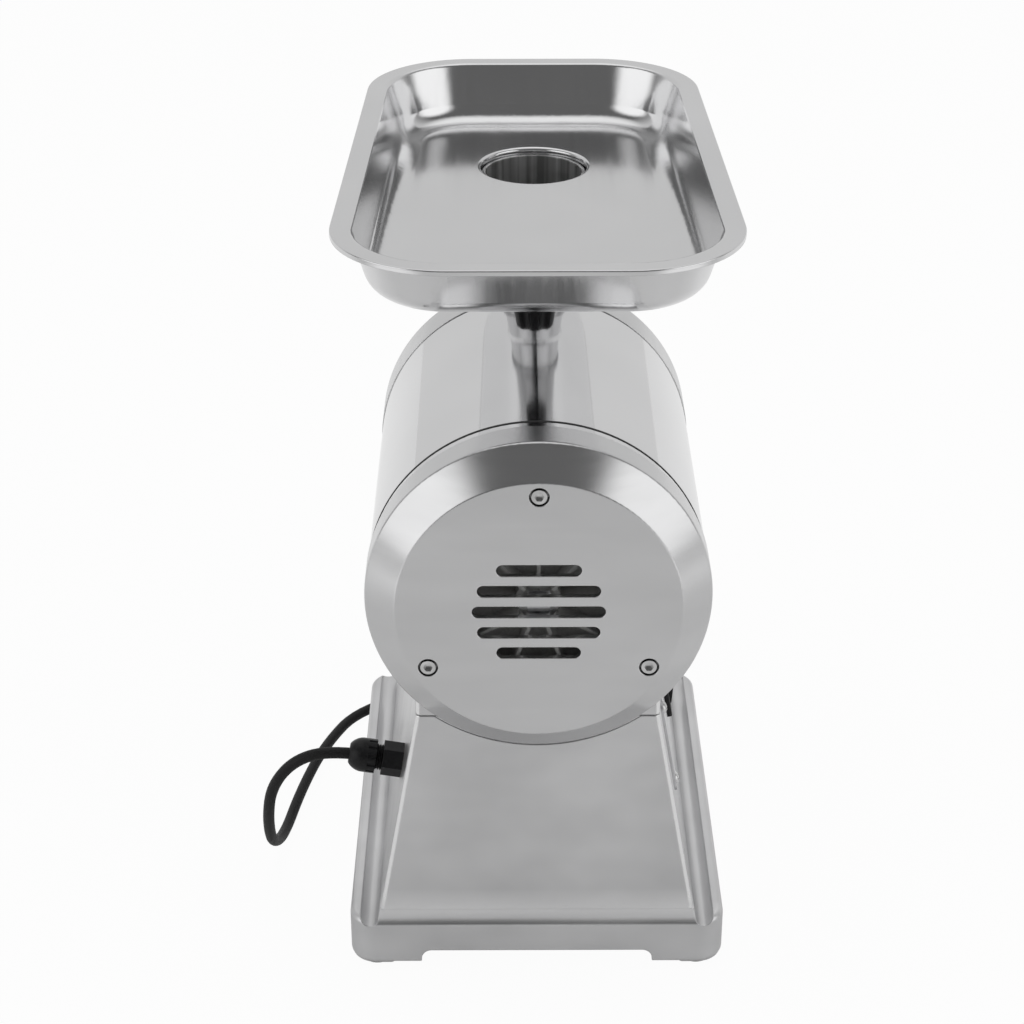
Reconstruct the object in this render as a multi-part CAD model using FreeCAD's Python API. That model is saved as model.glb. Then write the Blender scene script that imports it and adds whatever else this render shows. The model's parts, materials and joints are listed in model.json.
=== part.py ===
import FreeCAD, Part
import math
import os
from FreeCAD import Vector, Rotation, Placement

# Electric meat grinder, in millimetres, standing on z = 0.
# +Y is the feed direction (the vented rear cover faces -Y), +X is the switch side, +Z is up.
# The origin is the middle of the footprint box of the whole machine, without its cord.

# Barrel
SHELL_R = 95.0
SHELL_SINK = 15.0
SHELL_WALL = 1.2
SHELL_LENGTH = 182.4
SEAM = 0.6

# Rear cover
COVER_LENGTH = 35.1
COVER_BEVEL = 15.3
COVER_FACE_R = 78.8
COVER_STEP = 0.9
COVER_FACE_ROUND = 1.6
COVER_BAND_ROUND = 2.2
COVER_WALL = 3.5
REGISTER_LENGTH = 6.0
REGISTER_WALL = 3.0
COVER_SCREW_PCR = 70.4
COVER_SCREW_COUNT = 3
COVER_POST_R = 7.5
SLOT_HEIGHT = 7.2
SLOT_PITCH = 12.9
SLOT_COUNT = 5
SLOT_FIELD_R = 36.6
SLOT_FIELD_RISE = 33.4

# Screws
M5_R = 2.5
M4_R = 2.0
SOCKET_HEAD_RATIO = 1.7
SOCKET_HEX_RATIO = 0.92
COUNTERBORE_R = 5.6
CLEARANCE_HOLE = 0.3

# Fits
RUN_FIT = 0.05
SEAT_FIT = 0.1
GAP = 0.3

# Front flange and gear housing
FLANGE_LENGTH = 28.0
FLANGE_STEP = 0.5
FLANGE_WALL = 12.0
HOUSING_WALL = 5.5
HUB_R = 42.0
HUB_PROUD = 6.5
SOCKET_R = 28.1
SOCKET_DEPTH = 28.0
WEB_THICK = 12.0

# Motor
FAN_R = 60.0
FAN_DEPTH = 16.0
FAN_HUB_R = 13.0
FAN_BLADES = 9
FAN_PLATE = 2.0
BRACKET_THICK = 12.0
BRACKET_SPOKES = 6
FRAME_R = 73.0
FRAME_WALL = 5.0
FRAME_RIBS = 6
RIB_WIDTH = 8.0
ROTOR_R = 40.0
AIR_GAP = 0.4
STATOR_LENGTH = 70.0
WINDING_LENGTH = 11.0
WINDING_WALL = 18.0
SHAFT_R = 8.5
SHAFT_STEP = 2.0
MOTOR_BEARING_R = 20.0
GEAR_PLATE = 12.0

# Gears: teeth, module and face width of each stage
MODULE_1 = 1.5
PINION_1_TEETH = 14
GEAR_1_TEETH = 42
WIDTH_1 = 14.0
MODULE_2 = 2.0
PINION_2_TEETH = 12
WIDTH_2 = 16.0
PRESSURE_ANGLE = 20.0
ADDENDUM = 0.8
DEDENDUM = 1.1
BACKLASH = 0.25
GEAR_SPACE = 3.5
LAYSHAFT_R = 7.0
LAY_BEARING_R = 13.5
LAY_BEARING_WIDTH = 9.0
OUTPUT_SHAFT_R = 12.5
OUTPUT_BEARING_R = 26.0
OUTPUT_BEARING_WIDTH = 14.0
SEAL_R = 20.0
SEAL_WIDTH = 6.0
DRIVE_R = 15.0
DRIVE_LENGTH = 13.0
DRIVE_SQUARE = 14.0

# Grinder head
CHAMBER_R = 37.5
CHAMBER_WALL = 8.5
CHAMBER_LENGTH = 103.0
REAR_WALL = 8.0
TAIL_R = 15.4
SPIGOT_BORE_R = 19.0
SPIGOT_LENGTH = 26.0
NECK_R = 32.5
NECK_BORE_R = 30.5
NECK_GAP = 26.0
NECK_FILLET = 7.0
THROAT_LEDGE = 1.0
THROAT_RISE = 4.5
NECK_BELOW_FLOOR = 4.0
SHOULDER_R = 36.5
SHOULDER_THICK = 4.0
OUTLET_R = 50.0
OUTLET_LENGTH = 26.0
PLATE_R = 41.0
PLATE_THICK = 8.0
PLATE_PROUD = 2.3
PLATE_HOLE_R = 3.2
PLATE_HOLE_RINGS = 3
PLATE_HOLE_PITCH = 9.6
PLATE_PIN_R = 2.0
KNIFE_THICK = 9.5
KNIFE_R = 39.0
KNIFE_HUB_R = 15.0
KNIFE_ARM = 11.0
AUGER_PITCH = 36.0
AUGER_R = 36.6
AUGER_CORE_R = 17.0
FLIGHT_THICK = 6.0
STUD_SQUARE = 12.0
STUD_PIN_R = 5.0
NUT_WALL = 7.0
NUT_LIP = 4.0
NUT_LIP_R = 38.5
NUT_LENGTH = 32.0
NUT_LUGS = 8
NUT_LUG_R = 5.0

# Head lock
LOCK_BOLT_R = 5.0
LOCK_BOSS_R = 10.0
KNOB_R = 17.0
KNOB_HEIGHT = 22.0
KNOB_ROUND = 2.5
KNOB_LOBES = 6

# Tray
TRAY_LENGTH = 379.0
TRAY_SETBACK = 35.0
TRAY_REAR_WIDTH = 232.0
TRAY_FRONT_WIDTH = 208.0
TRAY_RISE = 185.0
TRAY_DEPTH = 36.0
TRAY_SHEET = 1.2
TRAY_RIM = 11.0
TRAY_LIP = 3.0
TRAY_CORNER_R = 66.0
TRAY_WALL_RUN = 10.0
TRAY_REAR_RUN = 15.0
TRAY_FLOOR_R = 16.0
TRAY_RIM_ROUND = 2.4
TRAY_EDGE_ROUND = 0.8
COLLAR_GAP = 0.7
COLLAR_HEIGHT = 18.0
COLLAR_ROLL = 2.2

# Base casting
BASE_WIDTH = 224.0
BASE_LENGTH = 283.0
BASE_SETBACK = 15.0
BASE_BOTTOM_Z = 4.0
SKIRT_HEIGHT = 31.0
SKIRT_FOOT_ROUND = 3.0
SKIRT_ROUND = 4.0
SKIRT_WALL = 5.0
RIM_FLAT = 2.5
VALLEY_WIDTH = 11.0
VALLEY_DEPTH = 4.3
PLAN_CORNER_R = 16.0
PEDESTAL_HEIGHT = 141.4
PEDESTAL_TOP_WIDTH = 139.4
PEDESTAL_WALL = 5.5
PEDESTAL_REAR_STEP = 3.5
PEDESTAL_REAR_DRAFT = 1.5
PEDESTAL_FLARE_R = 14.0
FLARE_LIP_R = 3.0
PEDESTAL_ROUND = 3.5
PEDESTAL_FRONT_FOOT = 22.0
PEDESTAL_FRONT_LEAN = 36.0
ARCH_WIDTH = 138.0
ARCH_HEIGHT = 9.5
ARCH_ROUND = 6.0
PAD_ROUND = 2.5
CAVITY_ROOF = 6.0
PLATE_LEDGE = 6.0
BOTTOM_PLATE = 1.5
FOOT_R = 12.0
FOOT_POCKET = 3.0
FOOT_BOSS_R = 17.5
FOOT_INSET = 16.0
PLATE_BOSS_R = 5.0
PLATE_SCREW_LENGTH = 8.0
FOOT_SCREW_BITE = 8.0

# Cradle between the pedestal and the barrel
CRADLE_WALL = 3.0
CRADLE_HEIGHT = 13.6
CRADLE_COVER = 1.5
CRADLE_GROOVE = 0.8
CRADLE_GROOVE_DEPTH = 1.5

# Cable gland
GLAND_SETBACK = 50.0
GLAND_Z = 116.5
GLAND_THREAD_R = 8.0
GLAND_HEX = 18.0
GLAND_HEX_LENGTH = 12.0
GLAND_NECK_LENGTH = 4.0
GLAND_THREAD_TURNS = 3
GLAND_DOME_R = 10.2
GLAND_DOME_LENGTH = 16.0
LOCKNUT_HEX = 22.0
LOCKNUT_THICK = 5.0

# Switch
SWITCH_SETBACK = 99.0
SWITCH_Z = 134.5
SWITCH_PLATE_LENGTH = 140.0
SWITCH_PLATE_HEIGHT = 64.0
SWITCH_PLATE_RISE = 3.2
SWITCH_PLATE_THICK = 1.5
SWITCH_LENGTH = 30.0
SWITCH_HEIGHT = 15.0
SWITCH_DEPTH = 24.0
BEZEL_RIM = 2.0
BEZEL_ROUND = 1.2
BEZEL_PROUD = 3.0
PADDLE_REACH = 9.2
PADDLE_RISE = 15.0
PADDLE_LENGTH = 24.0
PADDLE_ROOT = 9.0
PADDLE_TIP = 2.4
PADDLE_TILT = 12.0
PADDLE_PIN_R = 1.6

# Electrical pieces in the base
CAPACITOR_X = 40.0
CAPACITOR_SETBACK = 90.0
CAPACITOR_R = 20.0
CAPACITOR_LENGTH = 82.0
TAG_SPACING = 12.0
TAG_WIDTH = 4.0
TAG_LENGTH = 9.0
TAG_THICK = 0.8
STRAP_WIDTH = 14.0
STRAP_THICK = 1.2
STRAP_FOOT = 14.0
TERMINAL_X = 40.0
TERMINAL_SETBACK = 110.0
TERMINAL_HOLE_R = 2.2
TERMINAL_FLOOR = 6.0
TERMINAL_LENGTH = 48.0
TERMINAL_WIDTH = 20.0
TERMINAL_HEIGHT = 16.0

# Cord: plain round cord with a moulded plug
CORD_R = 3.5
COIL_R = 46.0
COIL_STEP = 8.8
COIL_LAYER = 8.6
COIL_TURNS = 2
COIL_X = 12.0
COIL_AHEAD = 78.0
TIE_THICK = 0.8
TIE_WIDTH = 12.0
PLUG_LENGTH = 38.0
PLUG_WIDTH = 27.0
PLUG_HEIGHT = 23.0
PLUG_ROUND = 6.0
PLUG_PIN_R = 2.4
PLUG_PIN_LENGTH = 19.0
PLUG_PIN_SPACING = 19.0

# Heights, all counted from the standing surface up through the base
SKIRT_TOP_Z = BASE_BOTTOM_Z + SKIRT_HEIGHT
PEDESTAL_TOP_Z = SKIRT_TOP_Z + PEDESTAL_HEIGHT
AXIS_Z = PEDESTAL_TOP_Z + SHELL_R - SHELL_SINK
TRAY_RIM_Z = AXIS_Z + TRAY_RISE

# Places along the feed direction, all counted from the rear cover's face
COVER_Y = -(TRAY_SETBACK + TRAY_LENGTH) / 2.0
COVER_END_Y = COVER_Y + COVER_LENGTH
SHELL_END_Y = COVER_END_Y + SHELL_LENGTH
FLANGE_END_Y = SHELL_END_Y + FLANGE_LENGTH
HUB_END_Y = FLANGE_END_Y + HUB_PROUD
HEAD_Y = HUB_END_Y + GAP
NECK_Y = FLANGE_END_Y + NECK_GAP + NECK_R
CHAMBER_Y = HEAD_Y + REAR_WALL
CHAMBER_END_Y = CHAMBER_Y + CHAMBER_LENGTH
KNIFE_Y = CHAMBER_END_Y + 2 * GAP
PLATE_Y = KNIFE_Y + KNIFE_THICK + GAP
PLATE_END_Y = PLATE_Y + PLATE_THICK
HEAD_END_Y = PLATE_END_Y - PLATE_PROUD
NUT_END_Y = PLATE_END_Y + GAP + NUT_LIP
TRAY_Y = COVER_Y + TRAY_SETBACK
TRAY_END_Y = TRAY_Y + TRAY_LENGTH
BASE_Y = COVER_Y + BASE_SETBACK
BASE_END_Y = BASE_Y + BASE_LENGTH
FAN_Y = COVER_Y + COVER_WALL + 4.0
BRACKET_Y = FAN_Y + FAN_DEPTH + 3.0
BRACKET_END_Y = BRACKET_Y + BRACKET_THICK

# The gear train is set back from the socket in the flange
SOCKET_Y = HUB_END_Y - SOCKET_DEPTH
SEAL_Y = SOCKET_Y - SEAL_WIDTH - 2.0
OUTPUT_BEARING_Y = SEAL_Y - 2 * OUTPUT_BEARING_WIDTH
WEB_Y = OUTPUT_BEARING_Y
STAGE_2_Y = WEB_Y - GEAR_SPACE - WIDTH_2
STAGE_1_Y = STAGE_2_Y - GEAR_SPACE - WIDTH_1
GEAR_PLATE_END_Y = STAGE_1_Y - GEAR_SPACE
GEAR_PLATE_Y = GEAR_PLATE_END_Y - GEAR_PLATE
STATOR_Y = (BRACKET_END_Y + GEAR_PLATE_Y - STATOR_LENGTH) / 2.0
GEAR_CENTRES = MODULE_1 * (PINION_1_TEETH + GEAR_1_TEETH) / 2.0
GEAR_2_TEETH = round(2.0 * GEAR_CENTRES / MODULE_2) - PINION_2_TEETH
LAY_Z = AXIS_Z - GEAR_CENTRES
SHELL_BORE = SHELL_R - SHELL_WALL
COVER_R = SHELL_R + COVER_STEP
FLANGE_R = SHELL_R + FLANGE_STEP
INNER_R = SHELL_BORE - SEAT_FIT
TRAY_FLOOR_Z = TRAY_RIM_Z - TRAY_DEPTH
NECK_TOP_Z = TRAY_FLOOR_Z - NECK_BELOW_FLOOR
THROAT_Z = AXIS_Z + CHAMBER_R + THROAT_RISE
PEDESTAL_FOOT_WIDTH = BASE_WIDTH - 2 * (SKIRT_ROUND + RIM_FLAT + VALLEY_WIDTH)
WALL_LEAN = math.degrees(math.atan2((PEDESTAL_FOOT_WIDTH - PEDESTAL_TOP_WIDTH) / 2.0,
                                    PEDESTAL_TOP_Z - SKIRT_TOP_Z))
LEDGE_Z = BASE_BOTTOM_Z + ARCH_HEIGHT + BOTTOM_PLATE + 3.0
CRADLE_BORE = SHELL_R + SEAT_FIT
CRADLE_R = COVER_R + SEAT_FIT + CRADLE_WALL


# Basic shapes

def cyl_y(r, y0, y1, x=0.0, z=AXIS_Z):
    return Part.makeCylinder(r, y1 - y0, Vector(x, y0, z), Vector(0, 1, 0))


def cyl_z(r, z0, z1, x=0.0, y=0.0):
    return Part.makeCylinder(r, z1 - z0, Vector(x, y, z0))


def ring_y(r_out, r_in, y0, y1, x=0.0, z=AXIS_Z):
    return cyl_y(r_out, y0, y1, x, z).cut(cyl_y(r_in, y0 - 1, y1 + 1, x, z))


def block(x0, x1, y0, y1, z0, z1):
    return Part.makeBox(x1 - x0, y1 - y0, z1 - z0, Vector(x0, y0, z0))


def fuse(shapes):
    return shapes[0].multiFuse(shapes[1:]).removeSplitter()


def turned(shape, degrees, z=AXIS_Z, x=0.0):
    copy = shape.copy()
    copy.rotate(Vector(x, 0, z), Vector(0, 1, 0), degrees)
    return copy


def ring_of(shape, count, z=AXIS_Z):
    return [turned(shape, 360.0 * i / count, z) for i in range(count)]


def revolved(points, x=0.0, z=AXIS_Z):
    """A solid of revolution about the barrel axis from (radius, y) points."""
    wire = Part.makePolygon([Vector(r, y, 0) for r, y in points + points[:1]])
    solid = Part.Face(wire).revolve(Vector(0, 0, 0), Vector(0, 1, 0), 360)
    solid.translate(Vector(x, 0, z))
    return solid


def circles_at(shape, radius, y):
    """The circular edges of a turned shape that have this radius and lie at this y."""
    return [edge for edge in shape.Edges
            if hasattr(edge.Curve, "Radius") and abs(edge.Curve.Radius - radius) < 0.01
            and abs(edge.Curve.Center.y - y) < 0.01]


def level_edges(shape, z):
    """The edges that lie wholly at one height."""
    return [edge for edge in shape.Edges
            if abs(edge.BoundBox.ZMin - z) < 0.01 and abs(edge.BoundBox.ZMax - z) < 0.01]


def rounded_outline(corners, radius, z):
    """A closed wire round the corners of a convex plan, with tangent arcs."""
    edges = []
    count = len(corners)
    arcs = []
    for i in range(count):
        p = Vector(corners[i][0], corners[i][1], z)
        a = Vector(corners[i - 1][0], corners[i - 1][1], z)
        b = Vector(corners[(i + 1) % count][0], corners[(i + 1) % count][1], z)
        u = (a - p).normalize()
        v = (b - p).normalize()
        half = u.getAngle(v) / 2.0
        reach = radius / math.tan(half)
        middle = p + (u + v).normalize() * (radius / math.sin(half) - radius)
        arcs.append((p + u * reach, middle, p + v * reach))
    for i in range(count):
        start, middle, end = arcs[i]
        edges.append(Part.Arc(start, middle, end).toShape())
        edges.append(Part.LineSegment(end, arcs[(i + 1) % count][0]).toShape())
    return Part.Wire(edges)


def prism(wire, height):
    return Part.Face(wire).extrude(Vector(0, 0, height))


def plan_block(x_half, y0, y1, radius, z0, z1):
    corners = [(-x_half, y0), (x_half, y0), (x_half, y1), (-x_half, y1)]
    return prism(rounded_outline(corners, radius, z0), z1 - z0)


def hex_prism(flats, x0, x1):
    """A hexagon along +X, standing on x0."""
    r = flats / math.sqrt(3.0)
    points = [Vector(x0, r * math.cos(math.radians(60 * i)), r * math.sin(math.radians(60 * i)))
              for i in range(7)]
    return Part.Face(Part.makePolygon(points)).extrude(Vector(x1 - x0, 0, 0))


def socket_screw(r, length, head_height):
    """A socket-head screw along +X: the head starts at x = 0 and the shank runs to +X."""
    head = Part.makeCylinder(r * SOCKET_HEAD_RATIO, head_height, Vector(0, 0, 0), Vector(1, 0, 0))
    shank = Part.makeCylinder(r, length, Vector(head_height, 0, 0), Vector(1, 0, 0))
    socket = hex_prism(2 * r * SOCKET_HEX_RATIO, -1.0, head_height * 0.55)
    return fuse([head, shank]).cut(socket)


def pan_screw(r, length, head_height):
    """A cross-recessed pan screw along +X with a domed head before x = 0."""
    head_r = 1.9 * r
    dome_r = (head_r ** 2 + head_height ** 2) / (2 * head_height)
    ball = Part.makeSphere(dome_r, Vector(dome_r - head_height, 0, 0))
    head = ball.common(Part.makeCylinder(head_r, head_height, Vector(-head_height, 0, 0), Vector(1, 0, 0)))
    shank = Part.makeCylinder(r, length, Vector(0, 0, 0), Vector(1, 0, 0))
    cross = Part.makeBox(head_height, 0.5 * r, 2.2 * r, Vector(-1.6 * head_height, -0.25 * r, -1.1 * r))
    other = Part.makeBox(head_height, 2.2 * r, 0.5 * r, Vector(-1.6 * head_height, -1.1 * r, -0.25 * r))
    return fuse([head, shank]).cut(cross).cut(other)


def aimed(shape, position, direction):
    """Moves a piece built along +X so that it starts at position and runs along direction."""
    copy = shape.copy()
    place = Placement(Vector(*position), Rotation(Vector(1, 0, 0), Vector(*direction)))
    copy.Placement = place.multiply(copy.Placement)
    return copy


# Rear cover

def slot_half_length(row):
    return SLOT_FIELD_R * math.sqrt(1.0 - (row * SLOT_PITCH / SLOT_FIELD_RISE) ** 2) - SLOT_HEIGHT / 2.0


def cover_screw_places():
    return [(COVER_SCREW_PCR * math.sin(2 * math.pi * i / COVER_SCREW_COUNT),
             AXIS_Z + COVER_SCREW_PCR * math.cos(2 * math.pi * i / COVER_SCREW_COUNT))
            for i in range(COVER_SCREW_COUNT)]


def make_rear_cover():
    """A turned cap: flat slotted face, bevel, band, and a register that fits inside the shell."""
    band_end = COVER_END_Y - SEAM
    register_r = SHELL_BORE - SEAT_FIT
    inner_r = register_r - REGISTER_WALL
    inner_face = COVER_FACE_R - COVER_WALL
    body = revolved([(0, COVER_Y), (COVER_FACE_R, COVER_Y), (COVER_R, COVER_Y + COVER_BEVEL),
                     (COVER_R, band_end), (register_r, band_end),
                     (register_r, COVER_END_Y + REGISTER_LENGTH), (inner_r, COVER_END_Y + REGISTER_LENGTH),
                     (inner_r, COVER_Y + COVER_BEVEL + COVER_WALL), (inner_face, COVER_Y + COVER_WALL),
                     (0, COVER_Y + COVER_WALL)])
    body = body.makeFillet(COVER_FACE_ROUND, circles_at(body, COVER_FACE_R, COVER_Y))
    body = body.makeFillet(COVER_BAND_ROUND, circles_at(body, COVER_R, COVER_Y + COVER_BEVEL))
    posts = [cyl_y(COVER_POST_R, COVER_Y + COVER_WALL - 1, BRACKET_Y, x, z) for x, z in cover_screw_places()]
    body = fuse([body] + posts)
    cuts = []
    middle = (SLOT_COUNT - 1) / 2.0
    for i in range(SLOT_COUNT):
        z = AXIS_Z + (middle - i) * SLOT_PITCH
        half = slot_half_length(i - middle)
        y0 = COVER_Y - 1
        y1 = COVER_Y + COVER_WALL + 1
        cuts.append(block(-half, half, y0, y1, z - SLOT_HEIGHT / 2.0, z + SLOT_HEIGHT / 2.0))
        cuts.append(cyl_y(SLOT_HEIGHT / 2.0, y0, y1, -half, z))
        cuts.append(cyl_y(SLOT_HEIGHT / 2.0, y0, y1, half, z))
    for x, z in cover_screw_places():
        cuts.append(cyl_y(COUNTERBORE_R, COVER_Y - 1, COVER_Y + 2 * M5_R, x, z))
        cuts.append(cyl_y(M5_R + CLEARANCE_HOLE, COVER_Y, BRACKET_Y + 1, x, z))
    return body.cut(cuts)


def make_rear_cover_screws():
    length = BRACKET_Y - COVER_Y + BRACKET_THICK - 4.0 * M5_R
    screw = socket_screw(M5_R, length, 2 * M5_R)
    return Part.makeCompound([aimed(screw, (x, COVER_Y, z), (0, 1, 0)) for x, z in cover_screw_places()])


# Barrel

def make_motor_shell():
    return ring_y(SHELL_R, SHELL_BORE, COVER_END_Y, SHELL_END_Y - SEAM)


def make_cradle():
    """The saddle casting: a trough under the barrel with a flat rail along each side."""
    y0 = pedestal_rear_y()
    y1 = SHELL_END_Y - SEAM
    half = PEDESTAL_TOP_WIDTH / 2.0
    rails = block(-half, half, y0, y1, PEDESTAL_TOP_Z, PEDESTAL_TOP_Z + CRADLE_HEIGHT)
    upright = [edge for edge in rails.Edges if edge.BoundBox.ZLength > 1.0]
    rails = rails.makeFillet(PEDESTAL_ROUND, upright)
    trough = cyl_y(CRADLE_R, y0, y1).common(block(-half, half, y0, y1, 0, PEDESTAL_TOP_Z + 1))
    body = fuse([rails, trough])
    body = body.cut(cyl_y(CRADLE_BORE, y0 - 1, y1 + 1))
    body = body.cut(cyl_y(COVER_R + SEAT_FIT, y0 - 1, COVER_END_Y))
    top = cradle_screw_top() + SEAT_FIT
    cuts = [cyl_z(M5_R + SEAT_FIT, PEDESTAL_TOP_Z - 1, top, x, y) for x, y in cradle_screw_places()]
    # A shallow shadow groove all round, where the saddle sits on the pedestal
    deep = CRADLE_GROOVE_DEPTH
    core = block(-half + deep, half - deep, y0 + deep, y1 - deep, 0, AXIS_Z)
    ring = block(-half - 1, half + 1, y0 - 1, y1 + 1, PEDESTAL_TOP_Z - 1, PEDESTAL_TOP_Z + CRADLE_GROOVE)
    below = block(-half, half, y0, y1, 0, PEDESTAL_TOP_Z)
    return body.cut(cuts + [ring.cut(core).cut(below)])


def cradle_screw_places():
    x = pedestal_half(cavity_top_z()) - PEDESTAL_WALL - M5_R * SOCKET_HEAD_RATIO - 1.0
    y0 = COVER_END_Y + 20.0
    y1 = SHELL_END_Y - 20.0
    return [(-x, y0), (x, y0), (-x, y1), (x, y1)]


def cradle_screw_top():
    """The screws stop a named cover below the barrel's seat, where it comes nearest to them."""
    inner = cradle_screw_places()[1][0] - M5_R
    return AXIS_Z - math.sqrt(CRADLE_BORE ** 2 - inner ** 2) - CRADLE_COVER


def make_cradle_screws():
    z0 = cavity_top_z()
    screw = socket_screw(M5_R, cradle_screw_top() - z0, 2 * M5_R)
    head_z = z0 - 2 * M5_R
    return Part.makeCompound([aimed(screw, (x, y, head_z), (0, 0, 1)) for x, y in cradle_screw_places()])


# Base casting

def pedestal_half(z):
    """Half the width of the pedestal's leaning side walls at a height."""
    share = (z - SKIRT_TOP_Z) / (PEDESTAL_TOP_Z - SKIRT_TOP_Z)
    return (PEDESTAL_FOOT_WIDTH + share * (PEDESTAL_TOP_WIDTH - PEDESTAL_FOOT_WIDTH)) / 2.0


def cavity_top_z():
    return AXIS_Z - CRADLE_R - GAP - CAVITY_ROOF


def foot_places():
    x = BASE_WIDTH / 2.0 - FOOT_INSET
    return [(-x, BASE_Y + FOOT_INSET), (x, BASE_Y + FOOT_INSET),
            (-x, BASE_END_Y - FOOT_INSET), (x, BASE_END_Y - FOOT_INSET)]


def plate_screw_places():
    x = BASE_WIDTH / 2.0 - SKIRT_WALL - PLATE_LEDGE - 1.0
    y0 = BASE_Y + SKIRT_WALL + PLATE_LEDGE + 1.0
    y1 = BASE_END_Y - SKIRT_WALL - PLATE_LEDGE - 1.0
    middle = (y0 + y1) / 2.0
    return [(-x, middle), (x, middle), (0, y0), (0, y1)]


def pedestal_rear_y():
    """Where the pedestal's rear face meets the cradle."""
    return BASE_Y + PEDESTAL_REAR_STEP + PEDESTAL_REAR_DRAFT


def skirt_block():
    """The low plinth: a rounded plan with a rounded upper and lower edge and a trough along each side."""
    half = BASE_WIDTH / 2.0
    body = plan_block(half, BASE_Y, BASE_END_Y, PLAN_CORNER_R, BASE_BOTTOM_Z, SKIRT_TOP_Z)
    body = body.makeFillet(SKIRT_ROUND, level_edges(body, SKIRT_TOP_Z))
    body = body.makeFillet(SKIRT_FOOT_ROUND, level_edges(body, BASE_BOTTOM_Z))
    rim_in = half - SKIRT_ROUND - RIM_FLAT
    foot = PEDESTAL_FOOT_WIDTH / 2.0
    y0 = BASE_Y - 1
    over = SKIRT_TOP_Z + 1
    troughs = []
    for side in (-1, 1):
        a = Vector(side * rim_in, y0, SKIRT_TOP_Z)
        b = Vector(side * foot, y0, SKIRT_TOP_Z)
        low = Vector(side * (rim_in + foot) / 2.0, y0, SKIRT_TOP_Z - VALLEY_DEPTH)
        wire = Part.Wire([Part.Arc(a, low, b).toShape(),
                          Part.LineSegment(b, Vector(b.x, y0, over)).toShape(),
                          Part.LineSegment(Vector(b.x, y0, over), Vector(a.x, y0, over)).toShape(),
                          Part.LineSegment(Vector(a.x, y0, over), a).toShape()])
        troughs.append(Part.Face(wire).extrude(Vector(0, BASE_LENGTH + 2, 0)))
    return body.cut(troughs)


def pedestal_block():
    """The tapering tower on the plinth, its upright edges rounded."""
    root_z = SKIRT_TOP_Z - SKIRT_ROUND
    drop = (SKIRT_TOP_Z - root_z) / (PEDESTAL_TOP_Z - SKIRT_TOP_Z)
    foot_y = BASE_END_Y - PEDESTAL_FRONT_FOOT
    rear_foot = BASE_Y + PEDESTAL_REAR_STEP
    levels = []
    for z, share in ((root_z, -drop), (PEDESTAL_TOP_Z, 1.0)):
        half = pedestal_half(z)
        y0 = rear_foot + PEDESTAL_REAR_DRAFT * share
        y1 = foot_y - PEDESTAL_FRONT_LEAN * share
        corners = [Vector(-half, y0, z), Vector(half, y0, z), Vector(half, y1, z), Vector(-half, y1, z)]
        levels.append(Part.makePolygon(corners + corners[:1]))
    body = Part.makeLoft(levels, True, True)
    upright = [edge for edge in body.Edges if edge.BoundBox.ZLength > 1.0]
    return body.makeFillet(PEDESTAL_ROUND, upright)


def rear_flare():
    """The hollow sweep that joins the pedestal's rear face to the plinth's upper edge."""
    x = -PEDESTAL_FOOT_WIDTH / 2.0
    low = SKIRT_TOP_Z - SKIRT_ROUND
    turn = math.acos(1.0 - PEDESTAL_REAR_STEP / (PEDESTAL_FLARE_R + FLARE_LIP_R))
    top = low + (PEDESTAL_FLARE_R + FLARE_LIP_R) * math.sin(turn)
    lip = []
    flare = []
    for angle in (0.0, turn / 2.0, turn):
        lip_y = BASE_Y + FLARE_LIP_R * (1.0 - math.cos(angle))
        lip.append(Vector(x, lip_y, low + FLARE_LIP_R * math.sin(angle)))
        flare_y = BASE_Y + PEDESTAL_REAR_STEP - PEDESTAL_FLARE_R * (1.0 - math.cos(turn - angle))
        flare.append(Vector(x, flare_y, top - PEDESTAL_FLARE_R * math.sin(turn - angle)))
    inner = BASE_Y + PEDESTAL_REAR_STEP + PEDESTAL_WALL
    corners = [flare[2], Vector(x, inner, top), Vector(x, inner, low - 1), Vector(x, BASE_Y, low - 1), lip[0]]
    edges = [Part.Arc(*lip).toShape(), Part.Arc(lip[2], flare[1], flare[2]).toShape()]
    edges += [Part.LineSegment(p, q).toShape() for p, q in zip(corners, corners[1:])]
    sweep = Part.Face(Part.Wire(edges)).extrude(Vector(PEDESTAL_FOOT_WIDTH, 0, 0))
    lean = math.tan(math.radians(WALL_LEAN))
    sides = [Vector(-PEDESTAL_FOOT_WIDTH / 2.0 - lean * 50, 0, SKIRT_TOP_Z - 50),
             Vector(PEDESTAL_FOOT_WIDTH / 2.0 + lean * 50, 0, SKIRT_TOP_Z - 50),
             Vector(PEDESTAL_FOOT_WIDTH / 2.0 - lean * 50, 0, SKIRT_TOP_Z + 50),
             Vector(-PEDESTAL_FOOT_WIDTH / 2.0 + lean * 50, 0, SKIRT_TOP_Z + 50)]
    sides = [Vector(v.x, BASE_Y - 1, v.z) for v in sides]
    taper = Part.Face(Part.makePolygon(sides + sides[:1])).extrude(Vector(0, 60, 0))
    return sweep.common(taper)


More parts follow.
